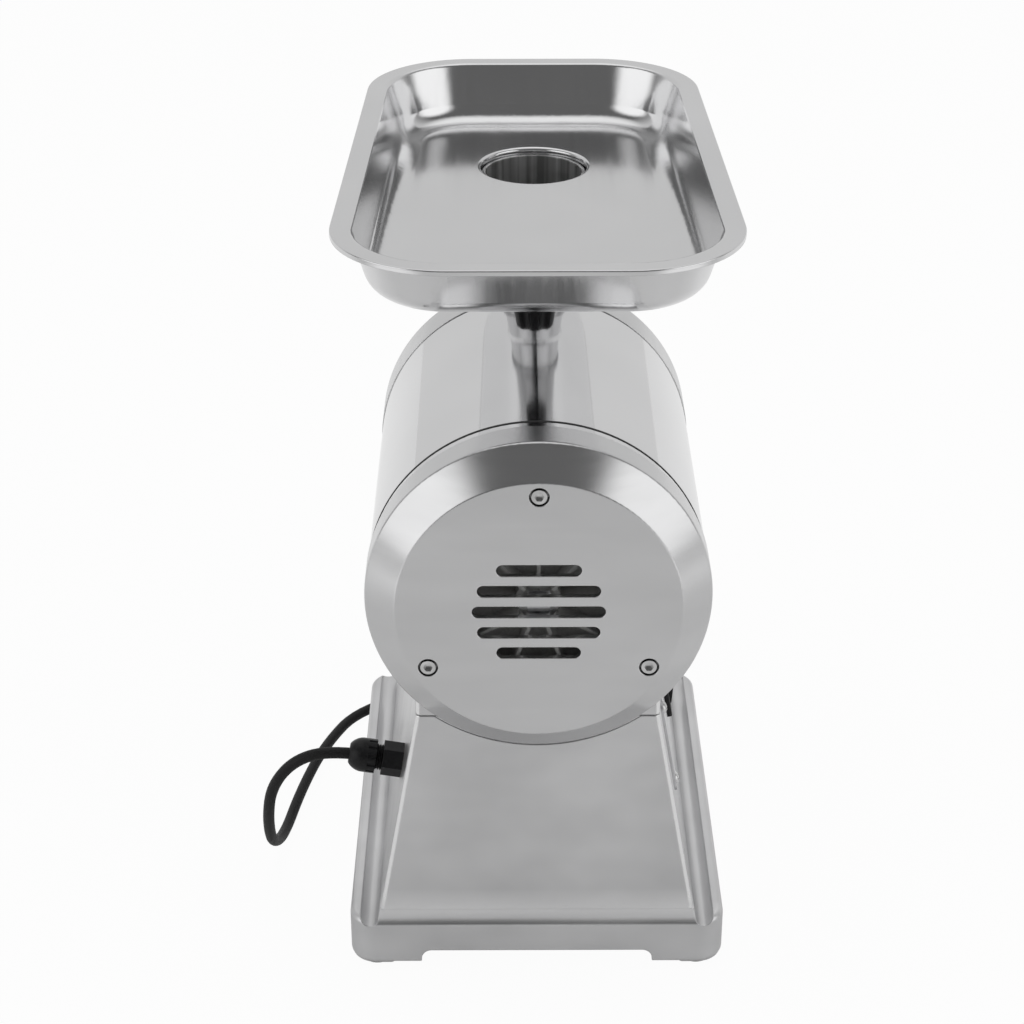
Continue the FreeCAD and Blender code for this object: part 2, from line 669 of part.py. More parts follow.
def arch_cut(half, y0, y1):
    """A low flat arch under the skirt with rounded upper corners and eased pad edges."""
    z0 = BASE_BOTTOM_Z - 1
    z1 = BASE_BOTTOM_Z + ARCH_HEIGHT
    eased_z = BASE_BOTTOM_Z + PAD_ROUND
    low = block(-half, half, y0, y1, z0, z1 - ARCH_ROUND)
    high = block(-half + ARCH_ROUND, half - ARCH_ROUND, y0, y1, z0, z1)
    ends = [cyl_y(ARCH_ROUND, y0, y1, side * (half - ARCH_ROUND), z1 - ARCH_ROUND) for side in (-1, 1)]
    eased = block(-half - PAD_ROUND, half + PAD_ROUND, y0, y1, z0, eased_z)
    pads = [cyl_y(PAD_ROUND, y0 - 1, y1 + 1, side * (half + PAD_ROUND), eased_z) for side in (-1, 1)]
    return fuse([low, high] + ends).fuse(eased.cut(pads))


def make_base_casting():
    foot_y = BASE_END_Y - PEDESTAL_FRONT_FOOT
    body = fuse([skirt_block(), pedestal_block(), rear_flare()])
    body = body.cut(cyl_y(CRADLE_R + GAP, BASE_Y - 1, BASE_END_Y + 1))
    # Hollow: a recess for the bottom plate, a ledge above it, and the pedestal's inside
    ledge = SKIRT_WALL + PLATE_LEDGE
    shelf_z = SKIRT_TOP_Z - VALLEY_DEPTH - SKIRT_WALL
    recess = plan_block(BASE_WIDTH / 2.0 - SKIRT_WALL, BASE_Y + SKIRT_WALL, BASE_END_Y - SKIRT_WALL,
                        PLAN_CORNER_R - SKIRT_WALL, BASE_BOTTOM_Z - 1, LEDGE_Z)
    low = plan_block(BASE_WIDTH / 2.0 - ledge, BASE_Y + ledge, BASE_END_Y - ledge,
                     PLAN_CORNER_R - SKIRT_WALL, LEDGE_Z - 1, shelf_z)
    roof = cavity_top_z()
    front_lean = PEDESTAL_FRONT_LEAN / (PEDESTAL_TOP_Z - SKIRT_TOP_Z)
    levels = []
    for z in (shelf_z - 1, roof):
        half = pedestal_half(z) - PEDESTAL_WALL
        y0 = pedestal_rear_y() + PEDESTAL_WALL
        y1 = foot_y - front_lean * (z - SKIRT_TOP_Z) - PEDESTAL_WALL
        corners = [Vector(-half, y0, z), Vector(half, y0, z), Vector(half, y1, z), Vector(-half, y1, z)]
        levels.append(Part.makePolygon(corners + corners[:1]))
    hollow = Part.makeLoft(levels, True, True)
    body = body.cut([recess, low, hollow])
    bosses = [cyl_z(FOOT_BOSS_R, BASE_BOTTOM_Z, LEDGE_Z + 1, x, y) for x, y in foot_places()]
    bosses += [cyl_z(PLATE_BOSS_R, LEDGE_Z, shelf_z + 1, x, y) for x, y in plate_screw_places()]
    inside = plan_block(BASE_WIDTH / 2.0 - 1, BASE_Y + 1, BASE_END_Y - 1, PLAN_CORNER_R - 1,
                        BASE_BOTTOM_Z, SKIRT_TOP_Z)
    body = fuse([body] + [boss.common(inside) for boss in bosses])
    cuts = [arch_cut(ARCH_WIDTH / 2.0, BASE_Y - 1, BASE_Y + SKIRT_WALL + 1),
            arch_cut(ARCH_WIDTH / 2.0, BASE_END_Y - SKIRT_WALL - 1, BASE_END_Y + 1)]
    for x, y in foot_places():
        cuts.append(cyl_z(FOOT_R + GAP, BASE_BOTTOM_Z - 1, BASE_BOTTOM_Z + FOOT_POCKET, x, y))
        cuts.append(cyl_z(M5_R + SEAT_FIT, BASE_BOTTOM_Z - 1, LEDGE_Z - 2, x, y))
    for x, y in plate_screw_places():
        cuts.append(cyl_z(M4_R + SEAT_FIT, LEDGE_Z - 1, shelf_z - 1, x, y))
    for x, y in cradle_screw_places():
        cuts.append(cyl_z(M5_R + CLEARANCE_HOLE, roof - 1, PEDESTAL_TOP_Z + 1, x, y))
    cuts.append(left_wall(Part.makeCylinder(GLAND_THREAD_R + SEAT_FIT, 3 * PEDESTAL_WALL,
                                            Vector(-2 * PEDESTAL_WALL, 0, 0), Vector(1, 0, 0))))
    cuts.append(right_wall(Part.makeBox(3 * PEDESTAL_WALL, SWITCH_LENGTH + 4, SWITCH_HEIGHT + 4,
                                        Vector(-2 * PEDESTAL_WALL, -SWITCH_LENGTH / 2.0 - 2,
                                               -SWITCH_HEIGHT / 2.0 - 2))))
    for y, z in switch_plate_screw_places():
        cuts.append(right_wall(Part.makeCylinder(M4_R + SEAT_FIT, 2 * PEDESTAL_WALL,
                                                 Vector(-1.5 * PEDESTAL_WALL, y, z), Vector(1, 0, 0))))
    return body.cut(cuts)


def left_wall(shape):
    """Places a piece built along +X on the outside of the left wall, at the cable gland."""
    copy = shape.copy()
    turn = Rotation(Vector(0, 1, 0), WALL_LEAN).multiply(Rotation(Vector(0, 0, 1), 180))
    place = Placement(Vector(-pedestal_half(GLAND_Z), BASE_Y + GLAND_SETBACK, GLAND_Z), turn)
    copy.Placement = place.multiply(copy.Placement)
    return copy


def right_wall(shape):
    """Places a piece built along +X on the outside of the right wall, at the switch."""
    copy = shape.copy()
    turn = Rotation(Vector(0, 1, 0), -WALL_LEAN)
    place = Placement(Vector(pedestal_half(SWITCH_Z), BASE_Y + SWITCH_SETBACK, SWITCH_Z), turn)
    copy.Placement = place.multiply(copy.Placement)
    return copy


def make_bottom_plate():
    clear = SKIRT_WALL + GAP
    plate = plan_block(BASE_WIDTH / 2.0 - clear, BASE_Y + clear, BASE_END_Y - clear, PLAN_CORNER_R - clear,
                       LEDGE_Z - BOTTOM_PLATE, LEDGE_Z)
    cuts = [cyl_z(FOOT_BOSS_R + GAP, 0, LEDGE_Z + 1, x, y) for x, y in foot_places()]
    cuts += [cyl_z(M4_R + CLEARANCE_HOLE, 0, LEDGE_Z + 1, x, y) for x, y in plate_screw_places()]
    body = plate.cut(cuts)
    return max(body.Solids, key=lambda solid: solid.Volume)


def make_bottom_plate_screws():
    screw = pan_screw(M4_R, PLATE_SCREW_LENGTH, 1.1 * M4_R)
    z = LEDGE_Z - BOTTOM_PLATE
    return Part.makeCompound([aimed(screw, (x, y, z), (0, 0, 1)) for x, y in plate_screw_places()])


def make_rubber_feet():
    feet = []
    for x, y in foot_places():
        foot = Part.makeCone(FOOT_R - 1.5, FOOT_R, BASE_BOTTOM_Z + FOOT_POCKET, Vector(x, y, 0))
        foot = foot.cut(cyl_z(M5_R + GAP, -1, BASE_BOTTOM_Z + FOOT_POCKET + 1, x, y))
        foot = foot.cut(cyl_z(2 * M5_R + GAP, -1, BASE_BOTTOM_Z, x, y))
        feet.append(foot)
    return Part.makeCompound(feet)


def make_foot_screws():
    screw = pan_screw(M5_R, FOOT_POCKET + FOOT_SCREW_BITE, 0.96 * M5_R)
    return Part.makeCompound([aimed(screw, (x, y, BASE_BOTTOM_Z), (0, 0, 1)) for x, y in foot_places()])


# Motor

def make_end_bracket():
    """The motor's rear spider: an outer ring, spokes, a bearing seat and bosses for the cover screws."""
    r_out = SHELL_BORE - SEAT_FIT - REGISTER_WALL - SEAT_FIT
    seat_r = MOTOR_BEARING_R + 6.0
    rim = ring_y(r_out, r_out - 7.0, BRACKET_Y, BRACKET_END_Y)
    hub = cyl_y(seat_r, BRACKET_Y, BRACKET_END_Y)
    spoke = block(-RIB_WIDTH / 2.0, RIB_WIDTH / 2.0, BRACKET_Y + 3, BRACKET_END_Y,
                  AXIS_Z + seat_r - 2, AXIS_Z + r_out - 3)
    bosses = [cyl_y(COVER_POST_R, BRACKET_Y, BRACKET_END_Y, x, z) for x, z in cover_screw_places()]
    body = fuse([rim, hub] + ring_of(spoke, BRACKET_SPOKES) + bosses)
    cuts = [cyl_y(MOTOR_BEARING_R + SEAT_FIT, BRACKET_Y + 2, BRACKET_END_Y + 1),
            cyl_y(SHAFT_R + 1.5, BRACKET_Y - 1, BRACKET_END_Y + 1)]
    cuts += [cyl_y(M5_R + SEAT_FIT, BRACKET_Y - 1, BRACKET_END_Y + 1, x, z) for x, z in cover_screw_places()]
    return body.cut(cuts)


def make_motor_frame():
    """A ribbed tube that holds the stator in the middle of the shell."""
    tube = ring_y(FRAME_R, FRAME_R - FRAME_WALL, BRACKET_END_Y, GEAR_PLATE_Y)
    rib = block(-RIB_WIDTH / 2.0, RIB_WIDTH / 2.0, COVER_END_Y + REGISTER_LENGTH + 2, GEAR_PLATE_Y,
                AXIS_Z + FRAME_R - 2, AXIS_Z + INNER_R + 5)
    ribs = [r.common(cyl_y(INNER_R, COVER_Y, FLANGE_END_Y)) for r in ring_of(rib, FRAME_RIBS)]
    spacer = ring_y(SHELL_BORE - REGISTER_WALL - 5, FRAME_R - FRAME_WALL, BRACKET_END_Y, BRACKET_END_Y + 4)
    return fuse([tube, spacer] + ribs)


def make_stator_core():
    return ring_y(FRAME_R - FRAME_WALL - SEAT_FIT, ROTOR_R + AIR_GAP, STATOR_Y, STATOR_Y + STATOR_LENGTH)


def make_stator_windings():
    r_in = ROTOR_R + 5.0
    r_out = r_in + WINDING_WALL
    rings = []
    for y0, y1 in ((STATOR_Y - WINDING_LENGTH, STATOR_Y),
                   (STATOR_Y + STATOR_LENGTH, STATOR_Y + STATOR_LENGTH + WINDING_LENGTH)):
        bevel = WINDING_LENGTH / 3.0
        rings.append(revolved([(r_in, y0 + bevel), (r_in + bevel, y0), (r_out - bevel, y0),
                               (r_out, y0 + bevel), (r_out, y1 - bevel), (r_out - bevel, y1),
                               (r_in + bevel, y1), (r_in, y1 - bevel)]))
    return Part.makeCompound(rings)


def make_rotor_core():
    return ring_y(ROTOR_R, SHAFT_R + SEAT_FIT, STATOR_Y, STATOR_Y + STATOR_LENGTH)


def make_motor_shaft():
    nut_end = FAN_Y - 2.0
    return fuse([cyl_y(SHAFT_R, FAN_Y + FAN_DEPTH - 4, STAGE_1_Y),
                 cyl_y(SHAFT_R - SHAFT_STEP, nut_end, STAGE_1_Y + WIDTH_1)])


def make_cooling_fan():
    """A radial fan: a back plate with straight blades round a long hub."""
    back_y = FAN_Y + FAN_DEPTH - FAN_PLATE
    hub = cyl_y(FAN_HUB_R, FAN_Y + 5, FAN_Y + FAN_DEPTH)
    plate = cyl_y(FAN_R, back_y, FAN_Y + FAN_DEPTH)
    blade = block(-1.0, 1.0, FAN_Y, back_y + 1, AXIS_Z + FAN_HUB_R - 1, AXIS_Z + FAN_R)
    body = fuse([hub, plate] + ring_of(blade, FAN_BLADES))
    bore = fuse([cyl_y(SHAFT_R - SHAFT_STEP + SEAT_FIT, FAN_Y - 1, FAN_Y + FAN_DEPTH + 1),
                 cyl_y(SHAFT_R + SEAT_FIT, FAN_Y + FAN_DEPTH - 4, FAN_Y + FAN_DEPTH + 1)])
    return body.cut(bore)


def make_fan_nut():
    nut = aimed(hex_prism(3.0 * (SHAFT_R - SHAFT_STEP), 0, 6.0), (0, FAN_Y - 1, AXIS_Z), (0, 1, 0))
    return nut.cut(cyl_y(SHAFT_R - SHAFT_STEP + SEAT_FIT, FAN_Y - 5, FAN_Y + 9))


def bearing(r_out, r_in, y0, width, z=AXIS_Z):
    """A closed ball bearing with a shallow groove between its rings on both faces."""
    body = ring_y(r_out - SEAT_FIT / 2.0, r_in + RUN_FIT, y0, y0 + width, 0, z)
    third = (r_out - r_in) / 3.0
    groove = ring_y(r_out - third, r_in + third, y0 - 1, y0 + 0.8, 0, z)
    return body.cut(groove)


def make_motor_bearings():
    return Part.makeCompound([bearing(MOTOR_BEARING_R, SHAFT_R, BRACKET_Y + 2, BRACKET_THICK - 2),
                              bearing(MOTOR_BEARING_R, SHAFT_R, GEAR_PLATE_Y, GEAR_PLATE - 2)])


# Gear box

def gear(teeth, module, y0, width, z, first_tooth, bore):
    """A spur gear about an axis along Y: straight steps along true involute flanks."""
    pitch_r = teeth * module / 2.0
    base_r = pitch_r * math.cos(math.radians(PRESSURE_ANGLE))
    tip_r = pitch_r + ADDENDUM * module
    root_r = pitch_r - DEDENDUM * module

    def involute(r):
        angle = math.acos(min(1.0, base_r / r))
        return math.tan(angle) - angle

    half_pitch = (math.pi * module / 2.0 - BACKLASH) / (2.0 * pitch_r)
    start = max(base_r, root_r)
    flank = [(root_r, half_pitch + involute(pitch_r) - involute(start))] if root_r < base_r else []
    steps = 4
    for i in range(steps + 1):
        r = start + (tip_r - start) * i / steps
        flank.append((r, half_pitch + involute(pitch_r) - involute(r)))
    points = []
    for tooth in range(teeth):
        middle = math.radians(first_tooth) + 2 * math.pi * tooth / teeth
        points += [(r, middle - a) for r, a in flank]
        points += [(r, middle + a) for r, a in reversed(flank)]
    vectors = [Vector(r * math.cos(a), y0, z + r * math.sin(a)) for r, a in points]
    face = Part.Face(Part.makePolygon(vectors + vectors[:1]))
    return face.extrude(Vector(0, width, 0)).cut(cyl_y(bore + SEAT_FIT, y0 - 1, y0 + width + 1, 0, z))


def make_motor_pinion():
    return gear(PINION_1_TEETH, MODULE_1, STAGE_1_Y, WIDTH_1, AXIS_Z, -90.0, SHAFT_R - SHAFT_STEP)


def make_layshaft_gear():
    return gear(GEAR_1_TEETH, MODULE_1, STAGE_1_Y, WIDTH_1, LAY_Z, 90.0 + 180.0 / GEAR_1_TEETH, LAYSHAFT_R)


def make_layshaft_pinion():
    return gear(PINION_2_TEETH, MODULE_2, STAGE_2_Y, WIDTH_2, LAY_Z, 90.0, LAYSHAFT_R)


def make_output_gear():
    first = -90.0 + 180.0 / GEAR_2_TEETH
    return gear(GEAR_2_TEETH, MODULE_2, STAGE_2_Y, WIDTH_2, AXIS_Z, first, OUTPUT_SHAFT_R)


def make_layshaft():
    reach = LAY_BEARING_WIDTH - GAP
    return cyl_y(LAYSHAFT_R, GEAR_PLATE_END_Y - reach, WEB_Y + reach, 0, LAY_Z)


def make_layshaft_bearings():
    return Part.makeCompound([
        bearing(LAY_BEARING_R, LAYSHAFT_R, GEAR_PLATE_END_Y - LAY_BEARING_WIDTH, LAY_BEARING_WIDTH, LAY_Z),
        bearing(LAY_BEARING_R, LAYSHAFT_R, WEB_Y, LAY_BEARING_WIDTH, LAY_Z)])


def make_gear_plate():
    """The wall between motor and gears, with the front motor bearing and the rear layshaft bearing."""
    body = cyl_y(INNER_R, GEAR_PLATE_Y, GEAR_PLATE_END_Y)
    return body.cut([cyl_y(MOTOR_BEARING_R + SEAT_FIT, GEAR_PLATE_Y - 1, GEAR_PLATE_END_Y - 2),
                     cyl_y(SHAFT_R + 1.5, GEAR_PLATE_Y - 1, GEAR_PLATE_END_Y + 1),
                     cyl_y(LAY_BEARING_R + SEAT_FIT, GEAR_PLATE_END_Y - LAY_BEARING_WIDTH,
                           GEAR_PLATE_END_Y + 1, 0, LAY_Z)])


def make_gear_housing():
    """The front casting: visible ring, skirt inside the shell, bearing web, hub and head socket."""
    lip = SHELL_END_Y
    skirt_in = INNER_R - HOUSING_WALL
    body = revolved([(0, WEB_Y), (skirt_in, WEB_Y), (skirt_in, GEAR_PLATE_END_Y), (INNER_R, GEAR_PLATE_END_Y),
                     (INNER_R, lip), (FLANGE_R, lip), (FLANGE_R, FLANGE_END_Y - 2),
                     (FLANGE_R - 2, FLANGE_END_Y),
                     (HUB_R, FLANGE_END_Y), (HUB_R, HUB_END_Y - 1), (HUB_R - 1, HUB_END_Y), (0, HUB_END_Y)])
    void = revolved([(HUB_R, WEB_Y + WEB_THICK), (skirt_in, WEB_Y + WEB_THICK),
                     (skirt_in, FLANGE_END_Y - FLANGE_WALL), (HUB_R, FLANGE_END_Y - FLANGE_WALL)])
    boss = cyl_z(LOCK_BOSS_R, AXIS_Z + HUB_R - 3, AXIS_Z + skirt_in + 2, 0, lock_y())
    body = fuse([body.cut(void), boss])
    return body.cut([cyl_y(OUTPUT_BEARING_R + SEAT_FIT, WEB_Y - 1, SEAL_Y),
                     cyl_y(SEAL_R + SEAT_FIT, SEAL_Y - 1, SEAL_Y + SEAL_WIDTH),
                     cyl_y(DRIVE_R + 1.5, SEAL_Y - 1, HUB_END_Y + 1),
                     cyl_y(SOCKET_R, SOCKET_Y, HUB_END_Y + 1),
                     cyl_y(LAY_BEARING_R + SEAT_FIT, WEB_Y - 1, WEB_Y + LAY_BEARING_WIDTH, 0, LAY_Z),
                     cyl_z(LOCK_BOLT_R + RUN_FIT, AXIS_Z, AXIS_Z + FLANGE_R + 5, 0, lock_y())])


def make_output_shaft():
    shaft = fuse([cyl_y(OUTPUT_SHAFT_R, STAGE_2_Y - 2, SEAL_Y + SEAL_WIDTH + 1),
                  cyl_y(DRIVE_R, SEAL_Y + SEAL_WIDTH + 0.5, SOCKET_Y + DRIVE_LENGTH)])
    half = DRIVE_SQUARE / 2.0
    end = SOCKET_Y + DRIVE_LENGTH + 1
    return shaft.cut(block(-half, half, SOCKET_Y + 1, end, AXIS_Z - half, AXIS_Z + half))


def make_output_bearings():
    return Part.makeCompound([bearing(OUTPUT_BEARING_R, OUTPUT_SHAFT_R, WEB_Y + i * OUTPUT_BEARING_WIDTH,
                                      OUTPUT_BEARING_WIDTH) for i in range(2)])


def make_shaft_seal():
    return ring_y(SEAL_R, OUTPUT_SHAFT_R + GAP, SEAL_Y, SEAL_Y + SEAL_WIDTH)


# Grinder head

def neck_root(edge):
    """True for the curve where the neck grows out of the chamber."""
    box = edge.BoundBox
    low = AXIS_Z + (CHAMBER_R + CHAMBER_WALL) / 2.0
    across = abs(box.XLength - 2 * NECK_R) < 1.0 or abs(box.YLength - 2 * NECK_R) < 1.0
    return box.ZMin > low and box.ZMax < AXIS_Z + CHAMBER_R + CHAMBER_WALL + 0.1 and across


def make_head_body():
    """The head casting: spigot, screw chamber, feed neck with a tray shoulder, and the outlet."""
    shoulder_z = TRAY_FLOOR_Z - TRAY_SHEET - COLLAR_HEIGHT - GAP
    chamber_out = CHAMBER_R + CHAMBER_WALL
    outlet_y = HEAD_END_Y - OUTLET_LENGTH
    body = revolved([(0, HEAD_Y - SPIGOT_LENGTH), (SOCKET_R - SEAT_FIT, HEAD_Y - SPIGOT_LENGTH),
                     (SOCKET_R - SEAT_FIT, HEAD_Y), (chamber_out, HEAD_Y), (chamber_out, outlet_y - 5),
                     (OUTLET_R, outlet_y), (OUTLET_R, HEAD_END_Y), (0, HEAD_END_Y)])
    neck = cyl_z(NECK_R, AXIS_Z, NECK_TOP_Z, 0, NECK_Y)
    shoulder = cyl_z(SHOULDER_R, shoulder_z - SHOULDER_THICK, shoulder_z, 0, NECK_Y)
    flare = Part.makeCone(NECK_R, SHOULDER_R, SHOULDER_THICK,
                          Vector(0, NECK_Y, shoulder_z - 2 * SHOULDER_THICK))
    body = fuse([body, neck, shoulder, flare])
    root = [edge for edge in body.Edges if neck_root(edge)]
    body = body.makeFillet(NECK_FILLET, root)
    # The throat is bored down to a small ledge and then opens into the chamber
    mouth = cyl_z(NECK_BORE_R - THROAT_LEDGE, AXIS_Z, THROAT_Z + 1, 0, NECK_Y)
    mouth = mouth.common(block(-CHAMBER_R, CHAMBER_R, CHAMBER_Y, CHAMBER_END_Y, AXIS_Z, THROAT_Z + 1))
    return body.cut([mouth,
                     cyl_y(SPIGOT_BORE_R, HEAD_Y - SPIGOT_LENGTH - 1, HEAD_Y),
                     cyl_y(TAIL_R + RUN_FIT, HEAD_Y - 1, CHAMBER_Y + 1),
                     cyl_y(CHAMBER_R, CHAMBER_Y, CHAMBER_END_Y + 1),
                     cyl_y(PLATE_R + SEAT_FIT, CHAMBER_END_Y, HEAD_END_Y + 1),
                     cyl_z(NECK_BORE_R, THROAT_Z, NECK_TOP_Z + 1, 0, NECK_Y),
                     cyl_z(PLATE_PIN_R + SEAT_FIT, AXIS_Z - PLATE_R - 2, AXIS_Z - PLATE_R + PLATE_PIN_R, 0,
                           PLATE_Y + PLATE_PIN_R + 1)])


def make_grinding_plate():
    """A perforated disc: hexagonal rings of holes round a central bush."""
    body = cyl_y(PLATE_R, PLATE_Y, PLATE_END_Y)
    holes = [cyl_y(STUD_PIN_R + RUN_FIT, PLATE_Y - 1, PLATE_END_Y + 1)]
    for ring in range(2, PLATE_HOLE_RINGS + 2):
        for i in range(6 * (ring - 1)):
            angle = 2 * math.pi * (i + 0.5 * (ring % 2)) / (6 * (ring - 1))
            r = (ring - 0.2) * PLATE_HOLE_PITCH - 4.0
            holes.append(cyl_y(PLATE_HOLE_R, PLATE_Y - 1, PLATE_END_Y + 1,
                               r * math.cos(angle), AXIS_Z + r * math.sin(angle)))
    notch = cyl_z(PLATE_PIN_R + SEAT_FIT, AXIS_Z - PLATE_R - 2, AXIS_Z - PLATE_R + PLATE_PIN_R, 0,
                  PLATE_Y + PLATE_PIN_R + 1)
    return body.cut(holes + [notch])


def make_plate_pin():
    return cyl_z(PLATE_PIN_R, AXIS_Z - PLATE_R - 1.9, AXIS_Z - PLATE_R + PLATE_PIN_R - 0.1, 0,
                 PLATE_Y + PLATE_PIN_R + 1)


def make_auger():
    """The feed screw: tail and square tang, core, a helical flight and the stud for the knife."""
    tang = (DRIVE_SQUARE - 2 * SEAT_FIT) / 2.0
    stud = STUD_SQUARE / 2.0
    tang_y = SOCKET_Y + 2.0
    flight_y = CHAMBER_Y + GAP + FLIGHT_THICK / 2.0
    length = CHAMBER_LENGTH - FLIGHT_THICK - GAP
    core = fuse([block(-tang, tang, tang_y, HEAD_Y, AXIS_Z - tang, AXIS_Z + tang),
                 cyl_y(TAIL_R, SOCKET_Y + DRIVE_LENGTH + 2, CHAMBER_Y + 1),
                 cyl_y(AUGER_CORE_R, CHAMBER_Y + GAP, CHAMBER_END_Y),
                 block(-stud, stud, CHAMBER_END_Y - 1, KNIFE_Y + KNIFE_THICK, AXIS_Z - stud, AXIS_Z + stud),
                 cyl_y(STUD_PIN_R, CHAMBER_END_Y, PLATE_END_Y - 1)])
    mean_r = (AUGER_CORE_R + AUGER_R) / 2.0
    helix = Part.makeHelix(AUGER_PITCH, length, mean_r)
    root = FLIGHT_THICK / 2.0
    tip = FLIGHT_THICK / 4.0
    profile = Part.makePolygon([Vector(AUGER_CORE_R - 3, 0, -root), Vector(AUGER_R, 0, -tip),
                                Vector(AUGER_R, 0, tip), Vector(AUGER_CORE_R - 3, 0, root),
                                Vector(AUGER_CORE_R - 3, 0, -root)])
    flight = Part.Wire(helix).makePipeShell([profile], True, True)
    flight = Part.Solid(flight) if flight.ShapeType == "Shell" else flight
    flight.rotate(Vector(0, 0, 0), Vector(1, 0, 0), -90)
    flight.translate(Vector(0, flight_y, AXIS_Z))
    return core.fuse(flight)


def make_knife():
    """A four-arm cross blade with a square hole for the stud."""
    hub = cyl_y(KNIFE_HUB_R, KNIFE_Y, KNIFE_Y + KNIFE_THICK)
    arm = block(-KNIFE_ARM / 2.0, KNIFE_ARM / 2.0, KNIFE_Y + 3, KNIFE_Y + KNIFE_THICK,
                AXIS_Z, AXIS_Z + KNIFE_R - 1)
    bevel = block(0, KNIFE_ARM, -KNIFE_THICK, 0, -1, KNIFE_R + 1)
    bevel.rotate(Vector(0, 0, 0), Vector(0, 0, 1), 35)
    bevel.translate(Vector(0, KNIFE_Y + 3, AXIS_Z))
    half = STUD_SQUARE / 2.0 + SEAT_FIT
    body = fuse([hub] + ring_of(arm.cut(bevel), 4))
    return body.cut(block(-half, half, KNIFE_Y - 1, KNIFE_Y + KNIFE_THICK + 1, AXIS_Z - half, AXIS_Z + half))


def make_ring_nut():
    """The retaining ring: a lip in front of the plate and grip lugs round the outside."""
    y0 = NUT_END_Y - NUT_LENGTH
    r_in = OUTLET_R + GAP
    r_out = r_in + NUT_WALL
    body = revolved([(r_in, y0), (r_out - 1.5, y0), (r_out, y0 + 1.5), (r_out, NUT_END_Y - 3),
                     (r_out - 3, NUT_END_Y), (NUT_LIP_R, NUT_END_Y), (NUT_LIP_R, NUT_END_Y - NUT_LIP),
                     (r_in, NUT_END_Y - NUT_LIP)])
    lug = cyl_y(NUT_LUG_R, y0 + 3, NUT_END_Y - 4, 0, AXIS_Z + r_out - 1)
    lug = lug.cut(cyl_y(r_in + 1, y0, NUT_END_Y))
    return fuse([body] + ring_of(lug, NUT_LUGS))


# Head lock

def lock_y():
    return (SOCKET_Y + FLANGE_END_Y) / 2.0


def make_lock_bolt():
    return cyl_z(LOCK_BOLT_R, AXIS_Z + SOCKET_R + GAP, AXIS_Z + FLANGE_R + 1 + KNOB_HEIGHT / 2.0, 0, lock_y())


def make_lock_knob():
    """A lobed hand knob on the head-lock bolt."""
    z0 = AXIS_Z + FLANGE_R + 1.0
    body = cyl_z(KNOB_R, z0 + 6, z0 + KNOB_HEIGHT, 0, lock_y())
    body = body.makeFillet(KNOB_ROUND, level_edges(body, z0 + KNOB_HEIGHT))
    neck = Part.makeCone(LOCK_BOSS_R, LOCK_BOSS_R + 1, 7, Vector(0, lock_y(), z0))
    scallops = []
    for i in range(KNOB_LOBES):
        a = 2 * math.pi * i / KNOB_LOBES
        scallops.append(cyl_z(KNOB_R / 3.0, z0 + 6, z0 + KNOB_HEIGHT + 1,
                              1.12 * KNOB_R * math.cos(a), lock_y() + 1.12 * KNOB_R * math.sin(a)))
    bore = cyl_z(LOCK_BOLT_R + SEAT_FIT, z0 - 1, z0 + KNOB_HEIGHT / 2.0, 0, lock_y())
    return fuse([body.cut(scallops), neck]).cut(bore)


# Tray

def tray_outline(inset, z, rear_inset=0.0):
    taper = (TRAY_REAR_WIDTH - TRAY_FRONT_WIDTH) / (2.0 * TRAY_LENGTH)
    rear = TRAY_REAR_WIDTH / 2.0 - inset - taper * rear_inset
    front = TRAY_FRONT_WIDTH / 2.0 - inset
    rear_y = TRAY_Y + inset + rear_inset
    corners = [(-rear, rear_y), (rear, rear_y),
               (front, TRAY_END_Y - inset), (-front, TRAY_END_Y - inset)]
    return rounded_outline(corners, max(TRAY_CORNER_R - inset, 3.0), z)


def tray_dish(sheet):
    """The dish's solid body: sloped wall with a rounded foot, moved in by one sheet for the inside."""
    floor = TRAY_FLOOR_Z - TRAY_SHEET + sheet
    slope = TRAY_WALL_RUN / TRAY_DEPTH
    rear_slope = (TRAY_REAR_RUN - TRAY_WALL_RUN) / TRAY_DEPTH
    top = TRAY_RIM_Z + (1.0 if sheet else 0.0)
    wires = []
    for z in (floor, top):
        drop = TRAY_RIM_Z - z
        wires.append(tray_outline(TRAY_RIM + slope * drop + sheet, z, rear_slope * drop))
    dish = Part.makeLoft(wires, True, True)
    return dish.makeFillet(TRAY_FLOOR_R - sheet, level_edges(dish, floor))


def tray_edge_gap(edge):
    """How far an edge's middle is from the outer outline of the rim."""
    middle = edge.valueAt((edge.FirstParameter + edge.LastParameter) / 2.0)
    return tray_outline(0, middle.z).distToShape(Part.Vertex(middle))[0]


def tray_edge_inside(edge):
    return abs(tray_edge_gap(edge) - TRAY_RIM - TRAY_SHEET) < 0.5


def tray_edge_outside(edge):
    return tray_edge_gap(edge) < 0.1


